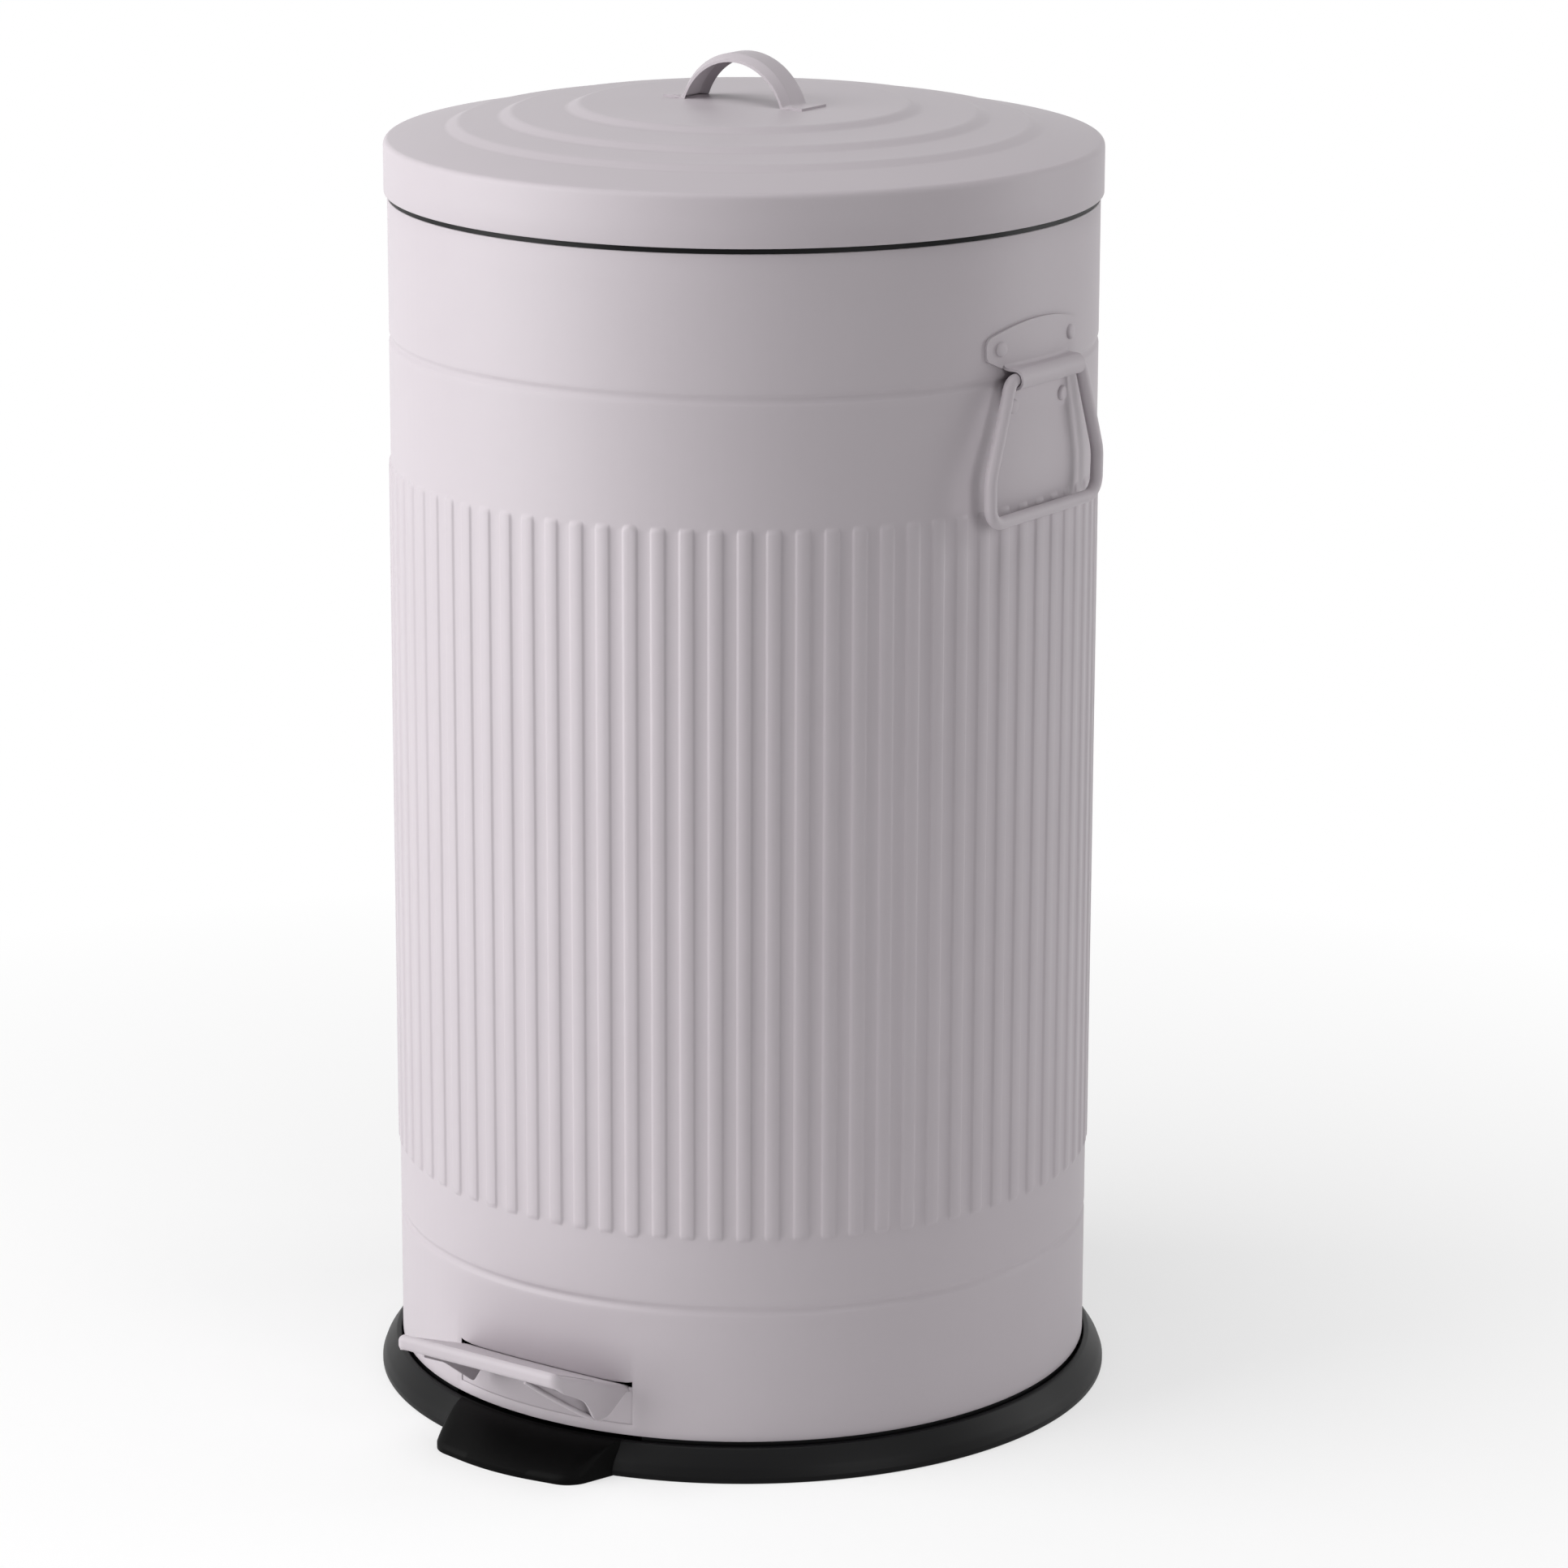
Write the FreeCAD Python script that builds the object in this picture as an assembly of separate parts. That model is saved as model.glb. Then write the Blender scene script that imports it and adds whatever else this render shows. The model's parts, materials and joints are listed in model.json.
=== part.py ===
import FreeCAD, Part
import math
import os

from FreeCAD import Vector

# A round pedal bin with a ribbed steel body, hinged lid, side handles and lift-out bucket.
# Millimetres, +Z up, origin on the body's axis at floor level, pedal towards -Y, hinge towards +Y.

# General clearances
overrun = 20.0
seat_gap = 0.15
moving_gap = 0.3
running_gap = 0.05
fixed_gap = 0.02

# Base moulding
base_flare = 9.6
base_edge_height = 3.5
base_lip_height = 14.4
base_floor = 3.0
base_groove_floor = 5.0
locating_wall = 2.5
locating_wall_height = 16.0
toe_reach = 24.5
toe_bow = 3.5
toe_half_width = 38.5
toe_root_half_width = 47.0
toe_corner = 8.0
toe_crown_reach = 7.0
toe_crown_drop = 0.8
toe_crown_half_width = 39.0
toe_root_inset = 8.0

# Body shell
body_radius = 156.0
body_height = 533.3
body_wall = 0.8
groove_width = 4.5
groove_depth = 0.9
upper_groove_drop = 61.3
lower_groove_rise = 71.0
rib_count = 80
rib_width = 7.5
rib_rise = 0.9
rib_side = 0.4
rib_top_drop = 115.3
rib_bottom_rise = 102.0

# Rim ring
rim_wall = 2.8
rim_skirt = 16.0
rim_flange = 3.0
rim_overhang = 0.4
rim_stand_inset = 1.6
rim_stand_wall = 3.0
rim_stand_height = 11.5
rim_stand_back = 80.0
rim_notch_half_width = 16.0

# Lid shell
lid_overhang = 1.5
lid_gap = 2.4
lid_wall = 0.8
lid_skirt = 20.3
lid_edge_radius = 3.0
lid_crown = 11.5
bead_width = 7.0
bead_rise = 1.2
bead_radius_shares = (0.470, 0.6445, 0.800)
lid_notch_half_width = 12.5
lid_notch_height = 17.5

# Lid strap handle
strap_half_span = 27.5
strap_rise = 22.5
strap_width = 18.0
strap_flat_width = 10.4
strap_sheet = 1.2
strap_fold = 2.2
strap_foot = 7.5

# Lid bumpers
bumper_radius = 3.5
bumper_angles = (-125.0, -75.0, -35.0, 35.0, 75.0, 125.0)

# Hinge and lid leaf
lid_travel = 74.0
hinge_standoff = 12.0
hinge_rise = 10.7
hinge_pin_radius = 2.0
hinge_block_half_width = 23.0
hinge_block_depth = 7.0
hinge_block_height = 50.0
hinge_cheek_inner = 11.0
hinge_cheek_outer = 20.0
hinge_cheek_drop = 28.0
hinge_ear_radius = 7.0
hinge_skirt_gap = 1.0
hinge_screw_spacing = 28.0
hinge_screw_rise = 10.0
hinge_notch_half_width = 12.0
hinge_notch_depth = 11.0
leaf_sheet = 2.0
leaf_outer = 10.0
leaf_eye_radius = 5.5
leaf_margin = 2.6
leaf_plate_half_width = 16.0
leaf_plate_length = 36.0
leaf_plate_sheet = 1.5
leaf_neck_height = 5.2
slot_clearance = 1.4

# Push rod
rod_offset = 22.0
rod_radius = 3.0
rod_eye_radius = 4.4
rod_pin_radius = 2.0
rod_top_eye_half_width = 7.4
rod_top_pin_half_length = 11.2
rod_guide_clearance = 1.2
rod_guide_half_width = 9.0
rod_guide_height = 12.0
rod_guide_depth = 16.0
upper_guide_drop = 98.0
lower_guide_rise = 145.0

# Pedal lever
pivot_setback = 84.0
pivot_height = 32.8
lever_sheet = 1.5
lever_half_width = 16.0
lever_depth = 13.0
lever_front_inset = 10.0
lever_eye_radius = 5.0
axle_radius = 3.0
axle_head_radius = 4.6
axle_head = 1.5

# Pedal plate
pedal_sheet = 1.2
pedal_reach = 42.0
pedal_root_inset = 7.0
pedal_root_half_width = 46.0
pedal_front_half_width = 45.0
pedal_rise = 19.0
pedal_lip = 7.0
pedal_corner = 6.0
pedal_lobe_reach = 15.0
pedal_lobe_drop = 8.4
pedal_lobe_bow = 1.2
pedal_sweep = 2.5
pedal_heel_drop = 5.3
pedal_heel_reach = 1.5
pedal_tongue_length = 38.0
apron_drop = 21.8
apron_inset = 1.0
apron_lap = 2.0
apron_end_gap = 1.5
pedal_side_gap = 1.6
pedal_top_gap = 0.5
opening_sill = 6.2
pedal_rivet_spacing = 18.0
pedal_rivet_radius = 2.0
pedal_rivet_head_radius = 3.8
pedal_rivet_head = 1.4

# Pivot brackets
bracket_sheet = 2.0
bracket_gap = 0.6
bracket_half_length = 13.0
bracket_eye_radius = 7.0
bracket_foot = 14.0
boss_radius = 5.0
boss_height = 5.0
screw_radius = 1.6
screw_head_radius = 3.2
screw_head = 1.8
screw_length = 6.0
screw_spacing = 16.0

# Bucket platform
platform_height = 70.0
platform_sheet = 4.0
platform_gap = 6.0
platform_leg_radius = 6.0
platform_leg_inset = 22.0
platform_leg_count = 6
platform_notch_half_width = 9.0
platform_notch_gap = 5.0

# Bucket
bucket_wall = 2.0
bucket_side_gap = 13.5
bucket_taper = 12.0
bucket_rim = 6.0
bucket_rim_height = 4.0
bucket_rim_drop = 48.0
bucket_back_gap = 6.0
bail_wire_radius = 2.0
bail_ear_sheet = 3.0
bail_ear_half_width = 6.0
bail_bend = 4.0
bail_rim_gap = 0.6
bail_end = 1.5

# Side handle plates and rivets
plate_sheet = 1.2
plate_gap = 0.1
plate_half_width = 34.0
plate_axis_drop = 60.3
plate_shoulder_low = 8.0
plate_shoulder_high = 16.5
plate_crown = 23.0
curl_half_width = 24.0
curl_clearance = 0.6
tab_half_width = 23.0
tab_drop = 18.0
tab_corner = 5.0
upper_rivet_rise = 12.7
upper_rivet_spacing = 52.0
lower_rivet_drop = 12.6
lower_rivet_spacing = 38.0
rivet_radius = 1.6
rivet_head_radius = 3.2
rivet_head = 1.5
rivet_tail = 1.0

# Side handle bails
grip_radius = 2.75
grip_standoff = 4.5
grip_top_half_width = 27.0
grip_hip_half_width = 41.7
grip_hip_drop = 40.5
grip_foot_half_width = 41.2
grip_drop = 60.0
grip_top_bend = 5.5
grip_hip_bend = 22.0
grip_foot_bend = 8.0

# Heights and radii that follow from the sizes above
body_top = base_groove_floor + body_height
body_inner = body_radius - body_wall
rim_inner = body_inner - seat_gap - rim_wall
rim_seat = body_top + fixed_gap
rim_flange_top = rim_seat + rim_flange
rim_stand_outer = body_radius - rim_stand_inset
rim_stand_top = rim_flange_top + rim_stand_height
lid_radius = body_radius + lid_overhang
lid_bottom = body_top + lid_gap
lid_shoulder = lid_bottom + lid_skirt
lid_top = lid_shoulder + lid_edge_radius + lid_crown
dome_span = lid_radius - lid_edge_radius
dome_radius = (dome_span ** 2 + lid_crown ** 2) / (2 * lid_crown)
hinge_y = body_radius + hinge_standoff
hinge_z = body_top + hinge_rise
half_travel = math.radians(lid_travel / 2)
rod_y = hinge_y - rod_offset
rod_half_rise = rod_offset * math.tan(half_travel)
rod_top_z = hinge_z - rod_half_rise
pivot_y = pivot_setback - body_radius
rod_bottom_z = pivot_height - rod_half_rise
lever_slope = rod_half_rise / (rod_y - pivot_y)
web_top = pivot_height + axle_radius + moving_gap + lever_sheet
pedal_root_y = pedal_root_inset - body_radius
pedal_front_y = -body_radius - pedal_reach
pedal_root_z = web_top + pedal_sheet
pedal_front_z = pedal_root_z + pedal_rise
pedal_slope = pedal_rise / (pedal_root_y - pedal_front_y)
opening_half_width = pedal_root_half_width + pedal_side_gap
opening_top = pedal_root_z + pedal_slope * pedal_root_inset + pedal_top_gap
opening_bottom = base_lip_height + opening_sill
apron_half_width = opening_half_width + apron_lap
bracket_inner = lever_half_width + bracket_gap
boss_top = base_floor + boss_height
bucket_floor = platform_height + moving_gap
bucket_rim_top = body_top - bucket_rim_drop
bucket_top_radius = body_radius - bucket_side_gap
bucket_bottom_radius = bucket_top_radius - bucket_taper
bucket_back = rod_y - rod_radius - bucket_back_gap
bail_radius = bucket_top_radius + bucket_rim / 2
bail_axis_z = bucket_rim_top + bail_rim_gap + bail_wire_radius
bail_ear_x = bail_radius - bail_bend - moving_gap
plate_axis_z = body_top - plate_axis_drop
plate_radius = body_radius + plate_gap
grip_x = body_radius + grip_standoff
curl_inner = grip_radius + curl_clearance
curl_outer = curl_inner + plate_sheet

X = Vector(1, 0, 0)
Y = Vector(0, 1, 0)
Z = Vector(0, 0, 1)
ORIGIN = Vector(0, 0, 0)


def at_x(x):
    """Makes points of the upright plane at x from (y, z)."""
    return lambda y, z: Vector(x, y, z)


def at_y(y):
    """Makes points of the upright plane at y from (x, z)."""
    return lambda x, z: Vector(x, y, z)


def at_z(z):
    """Makes points of the level plane at z from (x, y)."""
    return lambda x, y: Vector(x, y, z)


def trace(start, *steps):
    """Wire from start: a point ends a straight run, a pair is the middle and end of an arc."""
    edges = []
    here = start
    for step in steps:
        if isinstance(step, tuple):
            edges.append(Part.Arc(here, *step).toShape())
            here = step[1]
        else:
            edges.append(Part.LineSegment(here, step).toShape())
            here = step
    return Part.Wire(edges)


def corner(before, point, after, radius):
    """Start, middle and end of the arc that rounds one corner of a route."""
    to_before = (before - point).normalize()
    to_after = (after - point).normalize()
    half_angle = to_before.getAngle(to_after) / 2
    reach = radius / math.tan(half_angle)
    centre = point + (to_before + to_after).normalize() * (radius / math.sin(half_angle))
    middle = centre + (point - centre).normalize() * radius
    return point + to_before * reach, middle, point + to_after * reach


def rounded_route(points, radii):
    """Open wire through the points, with each inner corner rounded by its radius."""
    steps = []
    for index, radius in enumerate(radii):
        start, middle, end = corner(*points[index:index + 3], radius)
        steps += [start, (middle, end)]
    return trace(points[0], *steps, points[-1])


def slab(wire, direction, length):
    """Solid of a closed wire's face carried along a direction."""
    return Part.Face(wire).extrude(direction * length)


def slab_x(points, low, high):
    """Solid between x = low and x = high of an outline of (y, z) points."""
    outline = [Vector(low, y, z) for y, z in points]
    return slab(Part.makePolygon(outline + outline[:1]), X, high - low)


def turned(points):
    """Solid of an outline of (radius, z) points turned about the Z axis."""
    outline = [Vector(r, 0, z) for r, z in points]
    return Part.Face(Part.makePolygon(outline + outline[:1])).revolve(ORIGIN, Z, 360)


def box(low, high):
    """Box between two corners, each (x, y, z)."""
    corner_low = Vector(*low)
    size = Vector(*high) - corner_low
    return Part.makeBox(size.x, size.y, size.z, corner_low)


def drum(radius, low, high):
    """Cylinder about the Z axis between two heights."""
    return Part.makeCylinder(radius, high - low, Vector(0, 0, low))


def pin_x(radius, low, high, y, z):
    """Cylinder along X between x = low and x = high."""
    return Part.makeCylinder(radius, high - low, Vector(low, y, z), X)


def post(radius, low, high, x, y):
    """Cylinder along Z at (x, y) between two heights."""
    return Part.makeCylinder(radius, high - low, Vector(x, y, low))


def mirrored(shape):
    """Copy on the other side of the plane x = 0."""
    return shape.mirror(ORIGIN, X)


def dome_z(radius):
    """Height of the lid's dome at a distance from the axis."""
    return lid_top - dome_radius + math.sqrt(dome_radius ** 2 - radius ** 2)


def lid_solid(radius, bottom, drop):
    """Everything below the lid's domed and beaded top, lowered by drop, out to a radius."""
    at = at_y(0)

    def top(distance, rise=0):
        return at(distance, dome_z(distance) - drop + rise)

    steps = []
    here = 0
    for share in bead_radius_shares:
        bead = share * lid_radius
        low, high = bead - bead_width / 2, bead + bead_width / 2
        steps.append((top((here + low) / 2), top(low)))
        steps.append((top(bead, bead_rise), top(high)))
        here = high
    edge_radius = lid_edge_radius - lid_radius + radius
    span = radius - edge_radius
    shoulder = dome_z(dome_span) - drop - edge_radius
    bend = edge_radius * math.sqrt(0.5)
    steps.append((top((here + span) / 2), top(span)))
    steps.append((at(span + bend, shoulder + bend), at(radius, shoulder)))
    wire = trace(top(0), *steps, at(radius, bottom), at(0, bottom), top(0))
    return Part.Face(wire).revolve(ORIGIN, Z, 360)


def handle_rivet_places():
    """Rivet places of the right-hand handle as (angle about the axis in degrees, z)."""
    upper = plate_axis_z + upper_rivet_rise
    lower = plate_axis_z - lower_rivet_drop
    places = []
    for spacing, height in ((upper_rivet_spacing, upper), (lower_rivet_spacing, lower)):
        angle = math.degrees(math.asin(spacing / 2 / plate_radius))
        places += [(-angle, height), (angle, height)]
    return places


def handle_rivet_hole(angle, z):
    """Hole square to the wall through plate and wall on the right-hand side."""
    hole = pin_x(rivet_radius + fixed_gap, body_inner - overrun, body_radius + overrun, 0, z)
    hole.rotate(ORIGIN, Z, angle)
    return hole


def hinge_screw_places():
    """Places of the hinge block's screws as (x, z)."""
    height = body_top - hinge_block_height + hinge_screw_rise
    return [(side * hinge_screw_spacing / 2, height) for side in (-1, 1)]


def along_y(radius, low, high, x, z):
    """Cylinder along Y between y = low and y = high."""
    return Part.makeCylinder(radius, high - low, Vector(x, low, z), Y)


def body_rib():
    """One pressed rib at the front: a round-ended pad with a softly arched face."""
    half = rib_width / 2
    arch = rib_rise - rib_side
    arch_radius = (half ** 2 + arch ** 2) / (2 * arch)
    crest = -body_radius - rib_rise
    low = base_groove_floor + rib_bottom_rise + half
    high = body_top - rib_top_drop - half
    at = at_y(crest - rib_width)
    outline = trace(at(half, low), at(half, high), (at(0, high + half), at(-half, high)),
                    at(-half, low), (at(0, low - half), at(half, low)))
    pad = slab(outline, Y, 2 * rib_width).cut(drum(body_radius - body_wall / 2, 0, body_top))
    return pad.common(post(arch_radius, 0, body_top, 0, crest + arch_radius))


def body_shell():
    """Rolled steel wall with two pressed grooves, raised ribs and the openings for the mechanism."""
    low, high = base_groove_floor, body_top
    heights = (low + lower_groove_rise, high - upper_groove_drop)
    outer = [(body_radius, low)]
    for height in heights:
        outer.append((body_radius, height - groove_width / 2))
        outer.append((body_radius - groove_depth, height))
        outer.append((body_radius, height + groove_width / 2))
    outer.append((body_radius, high))
    inner = [(radius - body_wall, height) for radius, height in reversed(outer)]
    rib = body_rib()
    ribs = []
    for index in range(rib_count):
        copy = rib.copy()
        copy.rotate(ORIGIN, Z, 360 * index / rib_count)
        ribs.append(copy)
    shell = turned(outer + inner).fuse(ribs)
    cuts = [
        box((-opening_half_width, pedal_front_y, opening_bottom),
            (opening_half_width, pivot_y, opening_top)),
        box((-hinge_notch_half_width, rod_y, high - hinge_notch_depth),
            (hinge_notch_half_width, hinge_y, high + overrun)),
    ]
    for angle, z in handle_rivet_places():
        hole = handle_rivet_hole(angle, z)
        cuts += [hole, mirrored(hole)]
    for x, z in hinge_screw_places():
        cuts.append(along_y(screw_radius + fixed_gap, rod_y, hinge_y, x, z))
    return shell.cut(cuts)


def toe_outline(half_width, reach, root_half_width, height):
    """Level outline of the toe under the pedal: flared sides, round corners and a bowed front."""
    at = at_z(height)
    front = -body_radius - reach
    root = toe_root_inset - body_radius
    left = corner(at(-root_half_width, root), at(-half_width, front), at(0, front), toe_corner)
    right = corner(at(0, front), at(half_width, front), at(root_half_width, root), toe_corner)
    return trace(at(-root_half_width, root), left[0], (left[1], left[2]),
                 (at(0, front - toe_bow), right[0]), (right[1], right[2]),
                 at(root_half_width, root), at(-root_half_width, root))


def bracket_screw_places():
    """Places of the pivot brackets' screws on the right-hand side as (x, y)."""
    x = bracket_inner + bracket_sheet + bracket_foot / 2
    return [(x, pivot_y + side * screw_spacing / 2) for side in (-1, 1)]


def base_moulding():
    """Moulded base: floor, sloping skirt, groove for the wall, pocket for the apron, toe and screw bosses."""
    outer = body_radius + base_flare
    groove_outer = body_radius + seat_gap
    groove_inner = body_inner - seat_gap
    wall_inner = groove_inner - locating_wall
    ring = turned([
        (0, 0), (outer, 0), (outer, base_edge_height),
        (groove_outer, base_lip_height), (groove_outer, base_groove_floor),
        (groove_inner, base_groove_floor), (groove_inner, locating_wall_height),
        (wall_inner, locating_wall_height), (wall_inner, base_floor), (0, base_floor),
    ])
    foot = toe_outline(toe_half_width, toe_reach, toe_root_half_width, 0)
    edge = toe_outline(toe_half_width, toe_reach, toe_root_half_width, base_edge_height)
    crown = toe_outline(toe_crown_half_width, toe_crown_reach, toe_root_half_width,
                        base_lip_height - toe_crown_drop)
    toe = slab(foot, Z, base_edge_height).fuse(Part.makeLoft([edge, crown], True, True))
    toe = toe.cut(drum(groove_outer, 0, base_lip_height + overrun))
    high = locating_wall_height + overrun
    pocket = drum(body_radius, base_groove_floor, high).cut(drum(wall_inner - locating_wall, 0, high))
    pocket_half_width = apron_half_width + apron_end_gap
    holes = [pocket.common(box((-pocket_half_width, -body_radius, 0), (pocket_half_width, pivot_y, high)))]
    bosses = []
    for x, y in bracket_screw_places():
        boss = post(boss_radius, base_floor / 2, boss_top, x, y)
        hole_low = boss_top + bracket_sheet - screw_length
        hole = post(screw_radius + fixed_gap, hole_low, boss_top + overrun, x, y)
        bosses += [boss, mirrored(boss)]
        holes += [hole, mirrored(hole)]
    return ring.fuse([toe] + bosses).cut(holes).removeSplitter()


def rim_ring():
    """Black ring in the mouth of the body: skirt, flange on the wall's edge and stand for the bumpers."""
    skirt_outer = body_inner - seat_gap
    stand_inner = rim_stand_outer - rim_stand_wall
    ring = turned([
        (rim_inner, rim_seat - rim_skirt), (skirt_outer, rim_seat - rim_skirt), (skirt_outer, rim_seat),
        (body_inner + rim_overhang, rim_seat), (body_inner + rim_overhang, rim_flange_top),
        (rim_stand_outer, rim_flange_top), (rim_stand_outer, rim_stand_top),
        (stand_inner, rim_stand_top), (stand_inner, rim_flange_top), (rim_inner, rim_seat),
    ])
    back = box((-body_radius, rim_stand_back, rim_flange_top),
               (body_radius, hinge_y, rim_stand_top + overrun))
    notch = box((-rim_notch_half_width, rim_stand_back, rim_seat - rim_skirt - overrun),
                (rim_notch_half_width, hinge_y, rim_stand_top + overrun))
    return ring.cut([back, notch])


def lid_shell():
    """Pressed lid: skirt, domed top with three round beads, and a notch for the hinge leaf."""
    shell = lid_solid(lid_radius, lid_bottom, 0)
    hollow = lid_solid(lid_radius - lid_wall, lid_bottom - overrun, lid_wall)
    notch = box((-lid_notch_half_width, rod_y, lid_bottom - overrun),
                (lid_notch_half_width, hinge_y, lid_bottom + lid_notch_height))
    return shell.cut([hollow, notch])


def lid_handle():
    """Strap bent into an arch, with its long edges folded down and a flat foot at each end."""
    arch_radius = (strap_half_span ** 2 + strap_rise ** 2) / (2 * strap_rise)
    top = dome_z(strap_half_span) + strap_rise
    centre = Vector(0, 0, top - arch_radius)
    half = strap_width / 2
    flat = strap_flat_width / 2
    upper = [(-half, top - strap_fold), (-flat, top), (flat, top), (half, top - strap_fold)]
    lower = [(y, z - strap_sheet) for y, z in reversed(upper)]
    outline = [Vector(0, y, z) for y, z in upper + lower]
    face = Part.Face(Part.makePolygon(outline + outline[:1]))
    sweep = math.degrees(math.asin(strap_half_span / arch_radius))
    face.rotate(centre, Y, -sweep)
    arch = face.revolve(centre, Y, 2 * sweep)
    foot_inner = strap_half_span - strap_sheet - strap_fold
    foot = box((foot_inner, -half, dome_z(strap_half_span) - strap_fold),
               (strap_half_span + strap_foot, half, dome_z(strap_half_span) + strap_sheet))
    return arch.fuse([foot, mirrored(foot)]).cut(lid_solid(lid_radius, lid_bottom, 0)).removeSplitter()


def lid_bumpers():
    """Rubber pegs under the lid that land on the rim ring's stand."""
    under = lid_solid(lid_radius - lid_wall, lid_bottom, lid_wall)
    distance = rim_stand_outer - rim_stand_wall / 2
    pegs = []
    for angle in bumper_angles:
        x = distance * math.sin(math.radians(angle))
        y = -distance * math.cos(math.radians(angle))
        pegs.append(post(bumper_radius, rim_stand_top + moving_gap, lid_top, x, y).common(under))
    return Part.makeCompound(pegs)


def leaf_slot(radius, low, high):
    """Bar along X over the run of the rod's pin in the leaf, rounded by a radius at both ends."""
    near = rod_offset
    far = rod_offset / math.cos(half_travel)
    across = Vector(0, math.sin(half_travel), -math.cos(half_travel)) * radius
    along = Vector(0, -math.cos(half_travel), -math.sin(half_travel))
    axis = Vector(low, hinge_y, hinge_z)
    ends = [axis + along * near, axis + along * far]
    wire = trace(ends[0] + across, ends[1] + across,
                 (ends[1] + along * radius, ends[1] - across), ends[0] - across,
                 (ends[0] - along * radius, ends[0] + across))
    return slab(wire, X, high - low)


def lid_hinge_leaf():
    """Stamped leaf under the lid: a plate on the lid, two arms to the hinge pin, and the rod's slots."""
    under = lid_solid(lid_radius - lid_wall, lid_bottom, lid_wall)
    lower = lid_solid(lid_radius - lid_wall, lid_bottom - overrun, lid_wall + leaf_plate_sheet)
    plate_back = dome_span - lid_wall - lid_edge_radius
    plate_front = plate_back - leaf_plate_length
    plate = box((-leaf_plate_half_width, plate_front, hinge_z), (leaf_plate_half_width, plate_back, lid_top))
    plate = plate.common(under).cut(lower)
    inner = leaf_outer - leaf_sheet
    neck_top = hinge_z + leaf_neck_height
    slot_radius = rod_pin_radius + slot_clearance
    web = slab_x([
        (hinge_y, neck_top), (plate_back, neck_top), (plate_back, lid_top), (plate_front, lid_top),
        (plate_front, neck_top), (rod_y - slot_radius, rod_top_z), (rod_y, rod_top_z - slot_radius),
        (hinge_y, hinge_z - leaf_neck_height),
    ], inner, leaf_outer)
    roof = box((inner, plate_front - overrun, hinge_z), (leaf_outer, plate_back + overrun, lid_top + overrun))
    roof = roof.cut(lower).common(box((inner, plate_front - overrun, neck_top),
                                      (leaf_outer, plate_back, lid_top + overrun)))
    arm = web.cut(roof).fuse([
        pin_x(leaf_eye_radius, inner, leaf_outer, hinge_y, hinge_z),
        leaf_slot(slot_radius + leaf_margin, inner, leaf_outer),
    ])
    arm = arm.cut([
        pin_x(hinge_pin_radius + running_gap, inner - overrun, leaf_outer + overrun, hinge_y, hinge_z),
        leaf_slot(slot_radius, inner - overrun, leaf_outer + overrun),
    ])
    return plate.fuse([arm, mirrored(arm)]).removeSplitter()


def hinge_block():
    """Black bearing block screwed to the back of the body, with two cheeks that hold the hinge pin."""
    bottom = body_top - hinge_block_height
    face = body_radius + hinge_block_depth
    base = box((-hinge_block_half_width, rod_y, bottom), (hinge_block_half_width, face, body_top - lid_gap))
    cheek_front = lid_radius + hinge_skirt_gap
    cheek_low = body_top - hinge_cheek_drop
    cheek = slab_x([
        (cheek_front, cheek_low), (face, cheek_low - hinge_block_depth),
        (hinge_y + hinge_ear_radius, hinge_z), (hinge_y - hinge_ear_radius, hinge_z),
        (cheek_front, body_top + lid_gap),
    ], hinge_cheek_inner, hinge_cheek_outer)
    ear = pin_x(hinge_ear_radius, hinge_cheek_inner, hinge_cheek_outer, hinge_y, hinge_z)
    cheek = cheek.fuse(ear)
    window = box((-hinge_cheek_inner, rod_y, body_top - hinge_notch_depth),
                 (hinge_cheek_inner, hinge_y + overrun, body_top + overrun))
    cuts = [drum(body_radius + plate_gap, 0, lid_top), window]
    cuts.append(pin_x(hinge_pin_radius + fixed_gap, -hinge_cheek_outer, hinge_cheek_outer, hinge_y, hinge_z))
    for x, z in hinge_screw_places():
        cuts.append(along_y(screw_radius + fixed_gap, rod_y, hinge_y + overrun, x, z))
    return base.fuse([cheek, mirrored(cheek)]).cut(cuts).removeSplitter()


def hinge_screws():
    """Two pan-head screws through the hinge block and the wall, each with a nut inside."""
    face = body_radius + hinge_block_depth
    screws = []
    for x, z in hinge_screw_places():
        wall = math.sqrt(body_inner ** 2 - (abs(x) + screw_head_radius) ** 2)
        shank = along_y(screw_radius, wall - screw_length, face, x, z)
        head = along_y(screw_head_radius, face, face + screw_head, x, z)
        nut = along_y(screw_head_radius, wall - screw_head, wall - fixed_gap, x, z)
        screws.append(shank.fuse([head, nut]))
    return Part.makeCompound(screws)


def hinge_pin():
    """Steel pin through the hinge block's cheeks and the lid leaf's eyes."""
    return pin_x(hinge_pin_radius, -hinge_cheek_outer, hinge_cheek_outer, hinge_y, hinge_z)


def rod_guide(height):
    """Clip on the inside of the back wall with a hole that steadies the push rod."""
    block = box((-rod_guide_half_width, body_radius - rod_guide_depth, height - rod_guide_height / 2),
                (rod_guide_half_width, body_radius, height + rod_guide_height / 2))
    block = block.common(drum(body_inner - seat_gap, 0, body_top))
    return block.cut(post(rod_radius + rod_guide_clearance, 0, body_top, 0, rod_y))


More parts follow.
